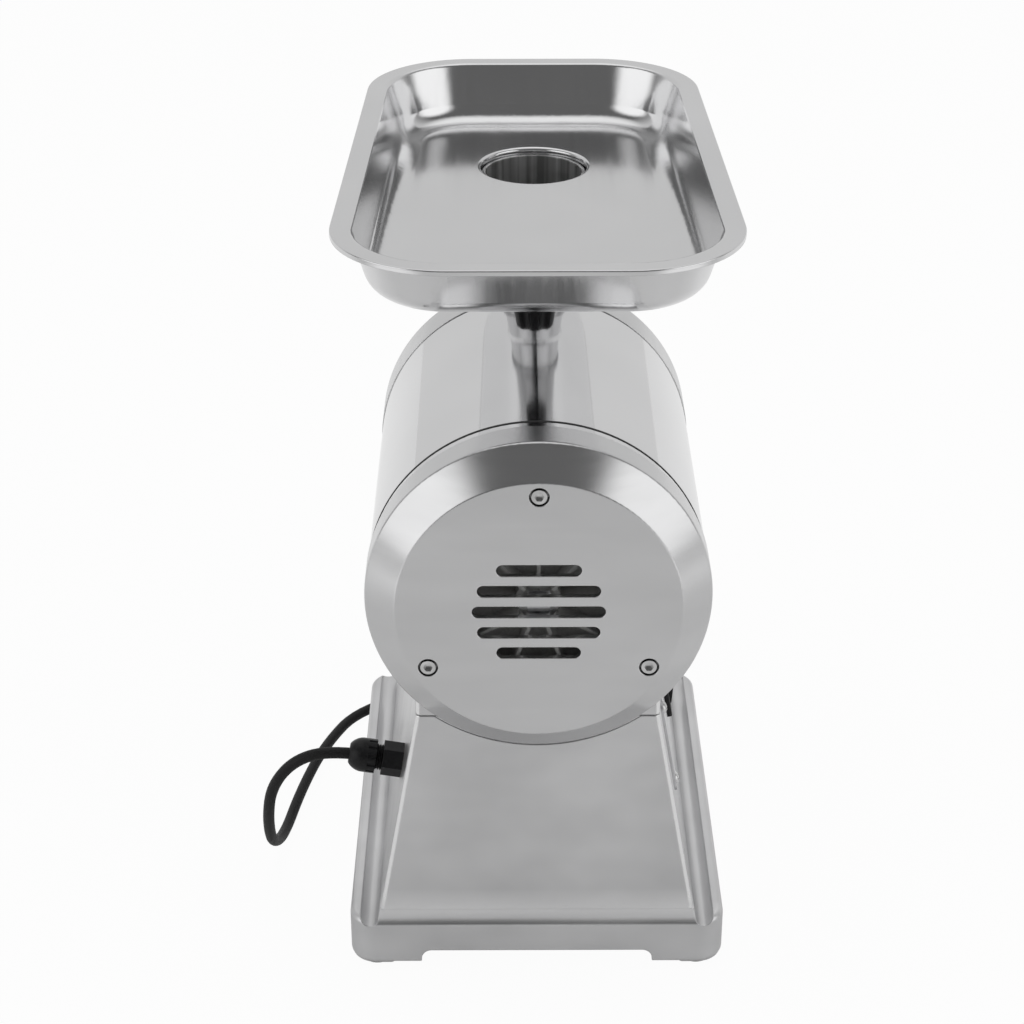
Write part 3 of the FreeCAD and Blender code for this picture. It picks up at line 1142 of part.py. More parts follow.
def make_tray():
    """A pressed sheet dish with a flat rim, a folded lip and a rolled collar over the feed neck."""
    rim = prism(tray_outline(0, TRAY_RIM_Z - TRAY_SHEET), TRAY_SHEET)
    lip = prism(tray_outline(0, TRAY_RIM_Z - TRAY_LIP), TRAY_LIP)
    lip = lip.cut(prism(tray_outline(TRAY_SHEET, TRAY_RIM_Z - TRAY_LIP - 1), TRAY_LIP + 2))
    r_in = NECK_R + COLLAR_GAP
    z0 = TRAY_FLOOR_Z - TRAY_SHEET - COLLAR_HEIGHT
    collar = cyl_z(r_in + TRAY_SHEET, z0, TRAY_FLOOR_Z - TRAY_SHEET / 2.0, 0, NECK_Y)
    under = Part.makeCone(r_in + TRAY_SHEET, r_in + TRAY_SHEET + COLLAR_ROLL, COLLAR_ROLL,
                          Vector(0, NECK_Y, TRAY_FLOOR_Z - TRAY_SHEET - COLLAR_ROLL))
    body = fuse([tray_dish(0.0), rim, lip, collar, under])
    body = body.cut([tray_dish(TRAY_SHEET), cyl_z(r_in, z0 - 1, TRAY_RIM_Z, 0, NECK_Y)])
    mouth = [edge for edge in level_edges(body, TRAY_FLOOR_Z) if abs(edge.BoundBox.XLength - 2 * r_in) < 0.1]
    body = body.makeFillet(COLLAR_ROLL, mouth)
    rim_edges = [edge for edge in level_edges(body, TRAY_RIM_Z) if tray_edge_inside(edge)]
    body = body.makeFillet(TRAY_RIM_ROUND, rim_edges)
    outer = [edge for edge in level_edges(body, TRAY_RIM_Z) if tray_edge_outside(edge)]
    return body.makeFillet(TRAY_EDGE_ROUND, outer)


# Cable gland

def make_gland_body():
    """Threaded body through the wall, hexagon outside, and the clamping neck under the dome nut."""
    start = -PEDESTAL_WALL - LOCKNUT_THICK - 2
    end = GLAND_HEX_LENGTH + GLAND_NECK_LENGTH + GLAND_DOME_LENGTH - 4
    body = fuse([Part.makeCylinder(GLAND_THREAD_R, -start, Vector(start, 0, 0), Vector(1, 0, 0)),
                 hex_prism(GLAND_HEX, 0, GLAND_HEX_LENGTH),
                 Part.makeCylinder(GLAND_THREAD_R - 1, end, Vector(0, 0, 0), Vector(1, 0, 0))])
    pitch = GLAND_NECK_LENGTH / GLAND_THREAD_TURNS
    turns = []
    for i in range(GLAND_THREAD_TURNS):
        x = GLAND_HEX_LENGTH + pitch * i
        half = pitch / 2.0
        root_r = GLAND_THREAD_R - 1.2
        turns.append(Part.makeCone(root_r, GLAND_THREAD_R, half, Vector(x, 0, 0), Vector(1, 0, 0)))
        turns.append(Part.makeCone(GLAND_THREAD_R, root_r, half, Vector(x + half, 0, 0), Vector(1, 0, 0)))
    bore = Part.makeCylinder(CORD_R + GAP, end - start + 2, Vector(start - 1, 0, 0), Vector(1, 0, 0))
    return left_wall(fuse([body] + turns).cut(bore))


def make_gland_nut():
    """A ribbed dome nut that closes the gland on the cord."""
    x0 = GLAND_HEX_LENGTH + GLAND_NECK_LENGTH
    half = GLAND_DOME_LENGTH / 2.0
    end_r = CORD_R + 2.2
    x1 = x0 + GLAND_DOME_LENGTH
    shoulder = Vector(x0 + half, GLAND_DOME_R, 0)
    crown = Vector(x0 + 1.66 * half, GLAND_DOME_R - 0.4 * (GLAND_DOME_R - end_r), 0)
    edges = [Part.LineSegment(Vector(x0, 0, 0), Vector(x0, GLAND_DOME_R, 0)).toShape(),
             Part.LineSegment(Vector(x0, GLAND_DOME_R, 0), shoulder).toShape(),
             Part.Arc(shoulder, crown, Vector(x1, end_r, 0)).toShape(),
             Part.LineSegment(Vector(x1, end_r, 0), Vector(x1, 0, 0)).toShape(),
             Part.LineSegment(Vector(x1, 0, 0), Vector(x0, 0, 0)).toShape()]
    body = Part.Face(Part.Wire(edges)).revolve(Vector(0, 0, 0), Vector(1, 0, 0), 360)
    cuts = [Part.makeCylinder(GLAND_THREAD_R - 1 + SEAT_FIT, GLAND_DOME_LENGTH - 4, Vector(x0, 0, 0),
                              Vector(1, 0, 0)),
            Part.makeCylinder(CORD_R + GAP, GLAND_DOME_LENGTH + 2, Vector(x0, 0, 0), Vector(1, 0, 0))]
    for i in range(12):
        a = math.radians(30 * i)
        cuts.append(Part.makeCylinder(1.0, GLAND_DOME_LENGTH / 2.0 - 2,
                                      Vector(x0 - 1, GLAND_DOME_R * math.cos(a), GLAND_DOME_R * math.sin(a)),
                                      Vector(1, 0, 0)))
    return left_wall(body.cut(cuts))


def make_gland_locknut():
    x1 = -PEDESTAL_WALL * math.cos(math.radians(WALL_LEAN))
    nut = hex_prism(LOCKNUT_HEX, x1 - LOCKNUT_THICK, x1)
    bore = Part.makeCylinder(GLAND_THREAD_R + SEAT_FIT, 40, Vector(-25, 0, 0), Vector(1, 0, 0))
    return left_wall(nut.cut(bore))


# Switch

def switch_plate_screw_places():
    y = SWITCH_PLATE_LENGTH / 2.0 - 7.0
    z = SWITCH_PLATE_HEIGHT / 2.0 - 7.0
    rise = SWITCH_PLATE_RISE
    return [(-y, rise - z), (y, rise - z), (-y, rise + z), (y, rise + z)]


def make_switch_plate():
    corners = [(-SWITCH_PLATE_HEIGHT / 2.0, -SWITCH_PLATE_LENGTH / 2.0),
               (SWITCH_PLATE_HEIGHT / 2.0, -SWITCH_PLATE_LENGTH / 2.0),
               (SWITCH_PLATE_HEIGHT / 2.0, SWITCH_PLATE_LENGTH / 2.0),
               (-SWITCH_PLATE_HEIGHT / 2.0, SWITCH_PLATE_LENGTH / 2.0)]
    plate = prism(rounded_outline(corners, 6.0, 0), SWITCH_PLATE_THICK)
    plate.rotate(Vector(0, 0, 0), Vector(0, 1, 0), 90)
    plate.translate(Vector(0, 0, SWITCH_PLATE_RISE))
    cuts = [Part.makeBox(6, SWITCH_LENGTH + 2 * SEAT_FIT, SWITCH_HEIGHT + 2 * SEAT_FIT,
                         Vector(-2, -SWITCH_LENGTH / 2.0 - SEAT_FIT, -SWITCH_HEIGHT / 2.0 - SEAT_FIT))]
    for y, z in switch_plate_screw_places():
        cuts.append(Part.makeCylinder(M4_R + CLEARANCE_HOLE, 6, Vector(-2, y, z), Vector(1, 0, 0)))
    return right_wall(plate.cut(cuts))


def make_switch_plate_screws():
    screw = pan_screw(M4_R, PEDESTAL_WALL + SWITCH_PLATE_THICK, 2.2)
    return Part.makeCompound([right_wall(aimed(screw, (SWITCH_PLATE_THICK, y, z), (-1, 0, 0)))
                              for y, z in switch_plate_screw_places()])


def make_switch_body():
    """The switch case behind the plate with a raised frame round the paddle."""
    x0 = SWITCH_PLATE_THICK
    case = Part.makeBox(SWITCH_DEPTH + x0, SWITCH_LENGTH, SWITCH_HEIGHT,
                        Vector(-SWITCH_DEPTH, -SWITCH_LENGTH / 2.0, -SWITCH_HEIGHT / 2.0))
    frame = Part.makeBox(BEZEL_PROUD, SWITCH_LENGTH + 2 * BEZEL_RIM, SWITCH_HEIGHT + 2 * BEZEL_RIM,
                         Vector(x0, -SWITCH_LENGTH / 2.0 - BEZEL_RIM, -SWITCH_HEIGHT / 2.0 - BEZEL_RIM))
    brim = [edge for edge in frame.Edges if edge.BoundBox.XMax > x0 + 0.01]
    body = fuse([case, frame.makeFillet(BEZEL_ROUND, brim)])
    well = Part.makeBox(PADDLE_ROOT + 6, PADDLE_LENGTH + 2 * GAP, SWITCH_HEIGHT - 2.0,
                        Vector(x0 + BEZEL_PROUD - PADDLE_ROOT, -PADDLE_LENGTH / 2.0 - GAP,
                               -SWITCH_HEIGHT / 2.0 + 1.0))
    pin = Part.makeCylinder(PADDLE_PIN_R + RUN_FIT, PADDLE_LENGTH + 4, Vector(0, -PADDLE_LENGTH / 2.0 - 2, 0),
                            Vector(0, 1, 0))
    return right_wall(body.cut(well).cut(pin))


def make_switch_rocker():
    """A bill-shaped paddle on two stub pins, resting in its off position with the bill up."""
    half = PADDLE_ROOT / 2.0
    points = [(-3.0, -half / 2.0), (3.0, -half), (5.2, 2.4 - half), (PADDLE_REACH, PADDLE_RISE - 1.2),
              (PADDLE_REACH - 0.6, PADDLE_RISE), (PADDLE_REACH - PADDLE_TIP, PADDLE_RISE - 1.0),
              (5.2, half + 0.4), (3.2, half), (-3.0, half / 2.0)]
    wire = Part.makePolygon([Vector(x, -PADDLE_LENGTH / 2.0, z) for x, z in points + points[:1]])
    body = Part.Face(wire).extrude(Vector(0, PADDLE_LENGTH, 0))
    pin = Part.makeCylinder(PADDLE_PIN_R, PADDLE_LENGTH + 3, Vector(0, -PADDLE_LENGTH / 2.0 - 1.5, 0),
                            Vector(0, 1, 0))
    return right_wall(fuse([body, pin]))


# Electrical pieces in the base

def capacitor_place():
    return (-CAPACITOR_X, BASE_Y + CAPACITOR_SETBACK, LEDGE_Z + CAPACITOR_R + SEAT_FIT + STRAP_THICK)


def make_capacitor():
    x, y, z = capacitor_place()
    can = cyl_y(CAPACITOR_R, y, y + CAPACITOR_LENGTH, x, z)
    tags = []
    for side in (-1, 1):
        left = x + (side * TAG_SPACING - TAG_WIDTH) / 2.0
        low = z - TAG_THICK / 2.0
        tags.append(block(left, left + TAG_WIDTH, y - TAG_LENGTH, y + 1, low, low + TAG_THICK))
    return fuse([can] + tags)


def make_capacitor_strap():
    x, y, z = capacitor_place()
    y0 = y + CAPACITOR_LENGTH / 2.0
    y1 = y0 + STRAP_WIDTH
    r = CAPACITOR_R + SEAT_FIT
    band = ring_y(r + STRAP_THICK, r, y0, y1, x, z)
    reach = r + STRAP_FOOT
    foot = block(x - reach, x + reach, y0, y1, LEDGE_Z, LEDGE_Z + STRAP_THICK)
    return fuse([band, foot]).cut(cyl_y(r, y0 - 1, y1 + 1, x, z))


def make_terminal_block():
    x = TERMINAL_X
    y = BASE_Y + TERMINAL_SETBACK
    body = block(x - TERMINAL_WIDTH / 2.0, x + TERMINAL_WIDTH / 2.0, y, y + TERMINAL_LENGTH,
                 LEDGE_Z, LEDGE_Z + TERMINAL_HEIGHT)
    pitch = TERMINAL_LENGTH / 4.0
    cuts = []
    for i in range(4):
        for side in (-1, 1):
            cuts.append(cyl_z(TERMINAL_HOLE_R, LEDGE_Z + TERMINAL_FLOOR, LEDGE_Z + TERMINAL_HEIGHT + 1,
                              x + side * TERMINAL_WIDTH / 4.0, y + pitch * (i + 0.5)))
    return body.cut(cuts)


# Cord

def rounded_route(points):
    """Straight runs joined by tangent arcs as large as the runs allow; returns a wire and the radii."""
    edges = []
    radii = []
    here = points[0]
    for i in range(1, len(points) - 1):
        a = points[i - 1] - points[i]
        b = points[i + 1] - points[i]
        half_turn = (math.pi - a.getAngle(b)) / 2.0
        reach = 0.45 * min(a.Length, b.Length)
        radius = reach / math.tan(half_turn)
        radii.append(radius)
        start = points[i] + a.normalize() * reach
        end = points[i] + b.normalize() * reach
        inward = (a + b).normalize()
        middle = points[i] + inward * (radius / math.cos(half_turn) - radius)
        edges.append(Part.LineSegment(here, start).toShape())
        edges.append(Part.Arc(start, middle, end).toShape())
        here = end
    edges.append(Part.LineSegment(here, points[-1]).toShape())
    return Part.Wire(edges), radii


def swept_tube(wire, start, direction):
    circle = Part.Wire(Part.Circle(start, direction, CORD_R).toShape())
    shell = Part.BRepOffsetAPI.MakePipeShell(wire)
    shell.add(circle)
    shell.build()
    shell.makeSolid()
    return shell.shape()


def coil_centre():
    return Vector(COIL_X, BASE_END_Y + COIL_AHEAD, CORD_R + TIE_THICK + GAP)


def coil_state(turn):
    """Point and direction of the coil after a number of turns: in, up a layer, and out again."""
    slope = COIL_STEP / (2 * math.pi)
    climb_end = COIL_TURNS + 0.5
    inner = COIL_R - COIL_STEP * COIL_TURNS
    if turn <= COIL_TURNS:
        r, dr = COIL_R - COIL_STEP * turn, -slope
        z, dz = 0.0, 0.0
    elif turn < climb_end:
        share = (turn - COIL_TURNS) / 0.5
        r, dr = inner, 0.0
        z = COIL_LAYER * (1 - math.cos(math.pi * share)) / 2.0
        dz = COIL_LAYER * math.sin(math.pi * share) / 2.0
    else:
        r, dr = inner + COIL_STEP * (turn - climb_end), slope
        z, dz = COIL_LAYER, 0.0
    if turn in (COIL_TURNS, climb_end):
        dr = 0.0
    angle = 2 * math.pi * turn - math.pi / 2.0
    radial = Vector(math.cos(angle), math.sin(angle), 0)
    along = Vector(-math.sin(angle), math.cos(angle), 0)
    heading = radial * dr + along * r + Vector(0, 0, dz)
    return coil_centre() + radial * r + Vector(0, 0, z), heading.normalize()


def biarc(p0, t0, p1, t1):
    """Two arcs that leave p0 along t0 and reach p1 along t1."""
    chord = p1 - p0
    a = 2.0 * (1.0 - t0.dot(t1))
    b = 2.0 * chord.dot(t0 + t1)
    c = -chord.dot(chord)
    reach = -c / b if abs(a) < 1e-9 else (-b + math.sqrt(b * b - 4 * a * c)) / (2 * a)
    q0 = p0 + t0 * reach
    q1 = p1 - t1 * reach
    joint = (q0 + q1) * 0.5
    arcs = []
    for start, corner, end in ((p0, q0, joint), (joint, q1, p1)):
        half = (end - start) * 0.5
        mid = start + half
        theta = (corner - start).getAngle(half)
        sagitta = half.Length * math.tan(theta / 2.0)
        arcs.append(Part.Arc(start, mid + (corner - mid).normalize() * sagitta, end).toShape())
    return arcs


def make_cord_coil():
    total = 2 * COIL_TURNS + 0.5
    steps = int(round(total * 4))
    states = [coil_state(i / 4.0) for i in range(steps + 1)]
    lead = 2 * CORD_R
    start = states[0][0] - states[0][1] * lead
    end = states[-1][0] + states[-1][1] * lead
    edges = [Part.LineSegment(start, states[0][0]).toShape()]
    for (p0, t0), (p1, t1) in zip(states, states[1:]):
        edges += biarc(p0, t0, p1, t1)
    edges.append(Part.LineSegment(states[-1][0], end).toShape())
    wire = Part.Wire(edges)
    samples = [coil_state(total * i / 400.0)[0] for i in range(401)]
    least = min((samples[i] - samples[j]).Length for i in range(401) for j in range(i + 40, 401))
    print("coil least gap to itself", round(least - 2 * CORD_R, 2), "length", round(wire.Length))
    return swept_tube(wire, start, states[0][1])


def coil_ends():
    first, along = coil_state(0)
    last, out = coil_state(2 * COIL_TURNS + 0.5)
    return first - along * 2 * CORD_R, along, last + out * 2 * CORD_R, out


def gland_mouth():
    lean = math.radians(WALL_LEAN)
    out = Vector(-math.cos(lean), 0, math.sin(lean))
    wall = Vector(-pedestal_half(GLAND_Z), BASE_Y + GLAND_SETBACK, GLAND_Z)
    depth = GLAND_HEX_LENGTH + GLAND_NECK_LENGTH + GLAND_DOME_LENGTH
    return wall, out, depth


def make_power_cord():
    """The free cord: out of the gland, down to the table, along the base and in to the coil."""
    wall, out, depth = gland_mouth()
    end, along, _, _ = coil_ends()
    floor = end.z
    first = wall + out * (depth - 14.0)
    points = [first, wall + out * (depth + 10.0)]
    for x, dy, z in ((-144.5, 1.0, 116.5), (-160.0, 6.0, 94.0), (-165.0, 18.0, 62.0), (-166.0, 40.0, 27.0)):
        points.append(Vector(x, wall.y + dy, z))
    for x, dy in ((-163.0, 78.0), (-156.0, 130.0), (-144.0, 184.0), (-122.0, 232.0)):
        points.append(Vector(x, wall.y + dy, floor))
    points.append(end - along * 66.0 - Vector(0, 5.0, 0))
    points.append(end - along * 32.0)
    points.append(end)
    wire, radii = rounded_route(points)
    tube = swept_tube(wire, first, out)
    print("cord radii", [round(r) for r in radii], "length", round(wire.Length),
          "volume ratio", round(tube.Volume / (math.pi * CORD_R ** 2 * wire.Length), 4))
    return tube


def make_cord_tie():
    """A strap round the bundle of turns, on the side away from the lead-in."""
    r_out = COIL_R + COIL_STEP / 2.0 + CORD_R
    r_in = COIL_R - COIL_STEP * COIL_TURNS - CORD_R - GAP
    z1 = coil_centre().z + COIL_LAYER + CORD_R + GAP
    c = coil_centre()
    y0 = c.y - TIE_WIDTH / 2.0
    y1 = c.y + TIE_WIDTH / 2.0
    loop = block(c.x - r_out - TIE_THICK, c.x - r_in + TIE_THICK, y0, y1, 0, z1 + TIE_THICK)
    return loop.cut(block(c.x - r_out, c.x - r_in, y0 - 1, y1 + 1, TIE_THICK, z1))


def make_power_plug():
    _, _, start, out = coil_ends()
    relief = Part.makeCone(CORD_R + 1.2, CORD_R + 3.5, 16.0, Vector(0, 0, 0), Vector(1, 0, 0))
    half_w = PLUG_WIDTH / 2.0
    half_h = PLUG_HEIGHT / 2.0
    levels = []
    for x, share in ((15.0, 0.45), (24.0, 0.8), (15.0 + PLUG_LENGTH, 1.0)):
        corners = [(-half_w * share, -half_h * share), (half_w * share, -half_h * share),
                   (half_w * share, half_h * share), (-half_w * share, half_h * share)]
        level = rounded_outline(corners, PLUG_ROUND * share, 0)
        level.rotate(Vector(0, 0, 0), Vector(1, 1, 1), 120)
        level.translate(Vector(x, 0, 0))
        levels.append(level)
    body = fuse([relief, Part.makeLoft(levels, True, True)])
    for i in (-1, 1):
        place = Vector(5 + PLUG_LENGTH, i * PLUG_PIN_SPACING / 2.0, 0)
        body = body.cut(Part.makeCylinder(PLUG_PIN_R + SEAT_FIT, 12, place, Vector(1, 0, 0)))
    return aimed(body, tuple(start), tuple(out))


def make_plug_pins():
    _, _, start, out = coil_ends()
    pins = [Part.makeCylinder(PLUG_PIN_R, PLUG_PIN_LENGTH + 10,
                              Vector(5.0 + PLUG_LENGTH, i * PLUG_PIN_SPACING / 2.0, 0), Vector(1, 0, 0))
            for i in (-1, 1)]
    return Part.makeCompound([aimed(pin, tuple(start), tuple(out)) for pin in pins])


PIECES = [
    ("rear_cover", make_rear_cover),
    ("rear_cover_screws", make_rear_cover_screws),
    ("motor_shell", make_motor_shell),
    ("cradle", make_cradle),
    ("cradle_screws", make_cradle_screws),
    ("base_casting", make_base_casting),
    ("bottom_plate", make_bottom_plate),
    ("bottom_plate_screws", make_bottom_plate_screws),
    ("rubber_feet", make_rubber_feet),
    ("foot_screws", make_foot_screws),
    ("end_bracket", make_end_bracket),
    ("motor_frame", make_motor_frame),
    ("stator_core", make_stator_core),
    ("stator_windings", make_stator_windings),
    ("rotor_core", make_rotor_core),
    ("motor_shaft", make_motor_shaft),
    ("cooling_fan", make_cooling_fan),
    ("fan_nut", make_fan_nut),
    ("motor_bearings", make_motor_bearings),
    ("motor_pinion", make_motor_pinion),
    ("layshaft_gear", make_layshaft_gear),
    ("layshaft_pinion", make_layshaft_pinion),
    ("output_gear", make_output_gear),
    ("layshaft", make_layshaft),
    ("layshaft_bearings", make_layshaft_bearings),
    ("gear_plate", make_gear_plate),
    ("gear_housing", make_gear_housing),
    ("output_shaft", make_output_shaft),
    ("output_bearings", make_output_bearings),
    ("shaft_seal", make_shaft_seal),
    ("head_body", make_head_body),
    ("grinding_plate", make_grinding_plate),
    ("plate_pin", make_plate_pin),
    ("auger", make_auger),
    ("knife", make_knife),
    ("ring_nut", make_ring_nut),
    ("lock_bolt", make_lock_bolt),
    ("lock_knob", make_lock_knob),
    ("tray", make_tray),
    ("gland_body", make_gland_body),
    ("gland_nut", make_gland_nut),
    ("gland_locknut", make_gland_locknut),
    ("switch_plate", make_switch_plate),
    ("switch_plate_screws", make_switch_plate_screws),
    ("switch_body", make_switch_body),
    ("switch_rocker", make_switch_rocker),
    ("capacitor", make_capacitor),
    ("capacitor_strap", make_capacitor_strap),
    ("terminal_block", make_terminal_block),
    ("cord_coil", make_cord_coil),
    ("power_cord", make_power_cord),
    ("cord_tie", make_cord_tie),
    ("power_plug", make_power_plug),
    ("plug_pins", make_plug_pins),
]


def make_all():
    os.makedirs("parts", exist_ok=True)
    for name, make in PIECES:
        shape = make()
        if not shape.isValid():
            print("not valid:", name)
        shape.exportStep("parts/" + name + ".step")


make_all()
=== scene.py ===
import json
import math
import bpy
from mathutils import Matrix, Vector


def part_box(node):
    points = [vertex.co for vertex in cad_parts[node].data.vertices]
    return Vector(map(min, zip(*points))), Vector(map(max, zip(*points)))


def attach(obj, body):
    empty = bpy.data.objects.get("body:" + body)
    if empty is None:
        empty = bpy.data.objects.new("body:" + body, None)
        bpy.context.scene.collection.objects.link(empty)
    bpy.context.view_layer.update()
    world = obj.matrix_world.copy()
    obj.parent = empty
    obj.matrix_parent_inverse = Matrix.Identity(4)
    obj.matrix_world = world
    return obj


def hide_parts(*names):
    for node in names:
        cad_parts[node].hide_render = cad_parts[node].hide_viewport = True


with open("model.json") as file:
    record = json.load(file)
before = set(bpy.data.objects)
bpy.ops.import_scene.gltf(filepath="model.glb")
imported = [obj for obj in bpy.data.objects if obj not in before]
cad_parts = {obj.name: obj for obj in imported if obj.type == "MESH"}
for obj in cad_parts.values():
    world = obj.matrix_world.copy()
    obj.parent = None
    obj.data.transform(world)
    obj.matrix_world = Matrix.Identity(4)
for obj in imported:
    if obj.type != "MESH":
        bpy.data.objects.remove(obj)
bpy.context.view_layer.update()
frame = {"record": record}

# Base: one hollow aluminium casting with a skirt, two side troughs and a tapering pedestal.
# The outside is ground by hand and polished, so broad soft clouds lie under fine grinding marks.
# The cradle under the motor barrel is the same casting alloy, screwed on top.


def new_finish(name, colour, metallic, roughness):
    material = bpy.data.materials.new(name)
    material.use_nodes = True
    shader = material.node_tree.nodes["Principled BSDF"]
    shader.inputs["Base Color"].default_value = (*colour, 1.0)
    shader.inputs["Metallic"].default_value = metallic
    shader.inputs["Roughness"].default_value = roughness
    return material, material.node_tree.nodes, material.node_tree.links, shader


def dress(material, *node_names):
    for node_name in node_names:
        for slot in bpy.data.objects[node_name].material_slots:
            slot.material = material


def new_effect(name, inputs, outputs):
    group = bpy.data.node_groups.new(name, "ShaderNodeTree")
    for socket_name, kind, value in inputs:
        socket = group.interface.new_socket(socket_name, in_out="INPUT", socket_type=kind)
        socket.default_value = value
    for socket_name, kind in outputs:
        group.interface.new_socket(socket_name, in_out="OUTPUT", socket_type=kind)
    taken = group.nodes.new("NodeGroupInput")
    given = group.nodes.new("NodeGroupOutput")
    return group, group.nodes, group.links, taken, given


def grain_group():
    group, nodes, links, taken, given = new_effect(
        "metal_grain",
        [("Stretch", "NodeSocketVector", (40.0, 40.0, 40.0)), ("Detail", "NodeSocketFloat", 3.0)],
        [("Grain", "NodeSocketFloat")])
    place = nodes.new("ShaderNodeTexCoord")
    stretch = nodes.new("ShaderNodeVectorMath")
    stretch.operation = "MULTIPLY"
    noise = nodes.new("ShaderNodeTexNoise")
    noise.inputs["Scale"].default_value = 1.0
    links.new(place.outputs["Object"], stretch.inputs[0])
    links.new(taken.outputs["Stretch"], stretch.inputs[1])
    links.new(stretch.outputs["Vector"], noise.inputs["Vector"])
    links.new(taken.outputs["Detail"], noise.inputs["Detail"])
    links.new(noise.outputs["Fac"], given.inputs["Grain"])
    return group


EDGE_RADIUS = 0.0012
EDGE_LIKENESS = 0.97


# Edge wear and painted highlight: the Bevel node marks sharp edges, which a metal paints paler.
def edge_group():
    group, nodes, links, taken, given = new_effect(
        "worn_edge_and_highlight",
        [("Gain", "NodeSocketFloat", 4.0)],
        [("Edge", "NodeSocketFloat")])
    surface = nodes.new("ShaderNodeNewGeometry")
    rounded = nodes.new("ShaderNodeBevel")
    rounded.samples = 4
    rounded.inputs["Radius"].default_value = EDGE_RADIUS
    alike = nodes.new("ShaderNodeVectorMath")
    alike.operation = "DOT_PRODUCT"
    apart = nodes.new("ShaderNodeMath")
    apart.operation = "SUBTRACT"
    apart.inputs[0].default_value = EDGE_LIKENESS
    gain = nodes.new("ShaderNodeMath")
    gain.operation = "MULTIPLY"
    gain.use_clamp = True
    links.new(surface.outputs["Normal"], alike.inputs[0])
    links.new(rounded.outputs["Normal"], alike.inputs[1])
    links.new(alike.outputs["Value"], apart.inputs[1])
    links.new(apart.outputs["Value"], gain.inputs[0])
    links.new(taken.outputs["Gain"], gain.inputs[1])
    links.new(gain.outputs["Value"], given.inputs["Edge"])
    return group


metal_grain = grain_group()
worn_edge_and_highlight = edge_group()


def grain(nodes, stretch, detail):
    node = nodes.new("ShaderNodeGroup")
    node.node_tree = metal_grain
    node.inputs["Stretch"].default_value = stretch
    node.inputs["Detail"].default_value = detail
    return node.outputs["Grain"]


def spread(nodes, links, value, low, high, start=0.3, end=0.7):
    node = nodes.new("ShaderNodeMapRange")
    node.inputs["From Min"].default_value = start
    node.inputs["From Max"].default_value = end
    node.inputs["To Min"].default_value = low
    node.inputs["To Max"].default_value = high
    links.new(value, node.inputs["Value"])
    return node.outputs["Result"]


def rise(nodes, links, value, limits):
    return spread(nodes, links, value, 0.0, 1.0, *limits)


def fall(nodes, links, value, limits):
    return spread(nodes, links, value, 1.0, 0.0, *limits)


def tint(nodes, links, value, dark, light, start=0.3, end=0.7):
    node = nodes.new("ShaderNodeValToRGB")
    node.color_ramp.elements[0].position = start
    node.color_ramp.elements[0].color = (*dark, 1.0)
    node.color_ramp.elements[1].position = end
    node.color_ramp.elements[1].color = (*light, 1.0)
    links.new(value, node.inputs["Fac"])
    return node.outputs["Color"]


def soft_edges(nodes, links, shader, radius, height, strength, distance):
    rounded = nodes.new("ShaderNodeBevel")
    rounded.samples = 6
    rounded.inputs["Radius"].default_value = radius
    normal = rounded.outputs["Normal"]
    if strength:
        bump = nodes.new("ShaderNodeBump")
        bump.inputs["Strength"].default_value = strength
        bump.inputs["Distance"].default_value = distance
        links.new(height, bump.inputs["Height"])
        links.new(normal, bump.inputs["Normal"])
        normal = bump.outputs["Normal"]
    links.new(normal, shader.inputs["Normal"])


def blend_colour(nodes, links, share, first, second):
    node = nodes.new("ShaderNodeMix")
    node.data_type = "RGBA"
    # A Mix node gives its number, vector and colour sockets the same names, so these go by index.
    links.new(share, node.inputs[0])
    links.new(first, node.inputs[6])
    if isinstance(second, tuple):
        node.inputs[7].default_value = (*second, 1.0)
    else:
        links.new(second, node.inputs[7])
    return node.outputs[2]


WORN_AND_HIGHLIGHT_COLOUR = (0.92, 0.92, 0.92)
CLOUD_DETAIL = 2.0
METAL_RELIEF = 0.001


def metal(name, dark, light, roughness, marks, clouds, radius, bump=0.05, wear_and_highlight=0.0, fine=4.0):
    material, nodes, links, shader = new_finish(name, light, 1.0, roughness[0])
    mark_grain = grain(nodes, marks, fine)
    cloud_grain = grain(nodes, clouds, CLOUD_DETAIL)
    colour = tint(nodes, links, cloud_grain, dark, light)
    # Sharp edges are painted paler, as edge wear and as painted highlight.
    if wear_and_highlight:
        edge = nodes.new("ShaderNodeGroup")
        edge.node_tree = worn_edge_and_highlight
        edge.inputs["Gain"].default_value = wear_and_highlight
        colour = blend_colour(nodes, links, edge.outputs["Edge"], colour, WORN_AND_HIGHLIGHT_COLOUR)
    links.new(colour, shader.inputs["Base Color"])
    links.new(spread(nodes, links, mark_grain, *roughness), shader.inputs["Roughness"])
    soft_edges(nodes, links, shader, radius, cloud_grain, bump, METAL_RELIEF)
    return material


def calculate(nodes, links, operation, first, second, clamp):
    node = nodes.new("ShaderNodeMath")
    node.operation = operation
    node.use_clamp = clamp
    links.new(first, node.inputs[0])
    if isinstance(second, float):
        node.inputs[1].default_value = second
    else:
        links.new(second, node.inputs[1])
    return node.outputs["Value"]


def product(nodes, links, first, second):
    return calculate(nodes, links, "MULTIPLY", first, second, False)


def total(nodes, links, first, second, clamp=True):
    return calculate(nodes, links, "ADD", first, second, clamp)


def size_of(nodes, links, value):
    node = nodes.new("ShaderNodeMath")
    node.operation = "ABSOLUTE"
    links.new(value, node.inputs[0])
    return node.outputs["Value"]


def coordinates(nodes, links, vector):
    node = nodes.new("ShaderNodeSeparateXYZ")
    links.new(vector, node.inputs["Vector"])
    return node.outputs


def paint_over(nodes, links, shader, share, colour):
    below = shader.inputs["Base Color"].links[0].from_socket
    links.new(blend_colour(nodes, links, share, below, colour), shader.inputs["Base Color"])


def roughen(nodes, links, shader, share, amount):
    below = shader.inputs["Roughness"].links[0].from_socket
    more = product(nodes, links, share, amount)
    links.new(total(nodes, links, below, more), shader.inputs["Roughness"])


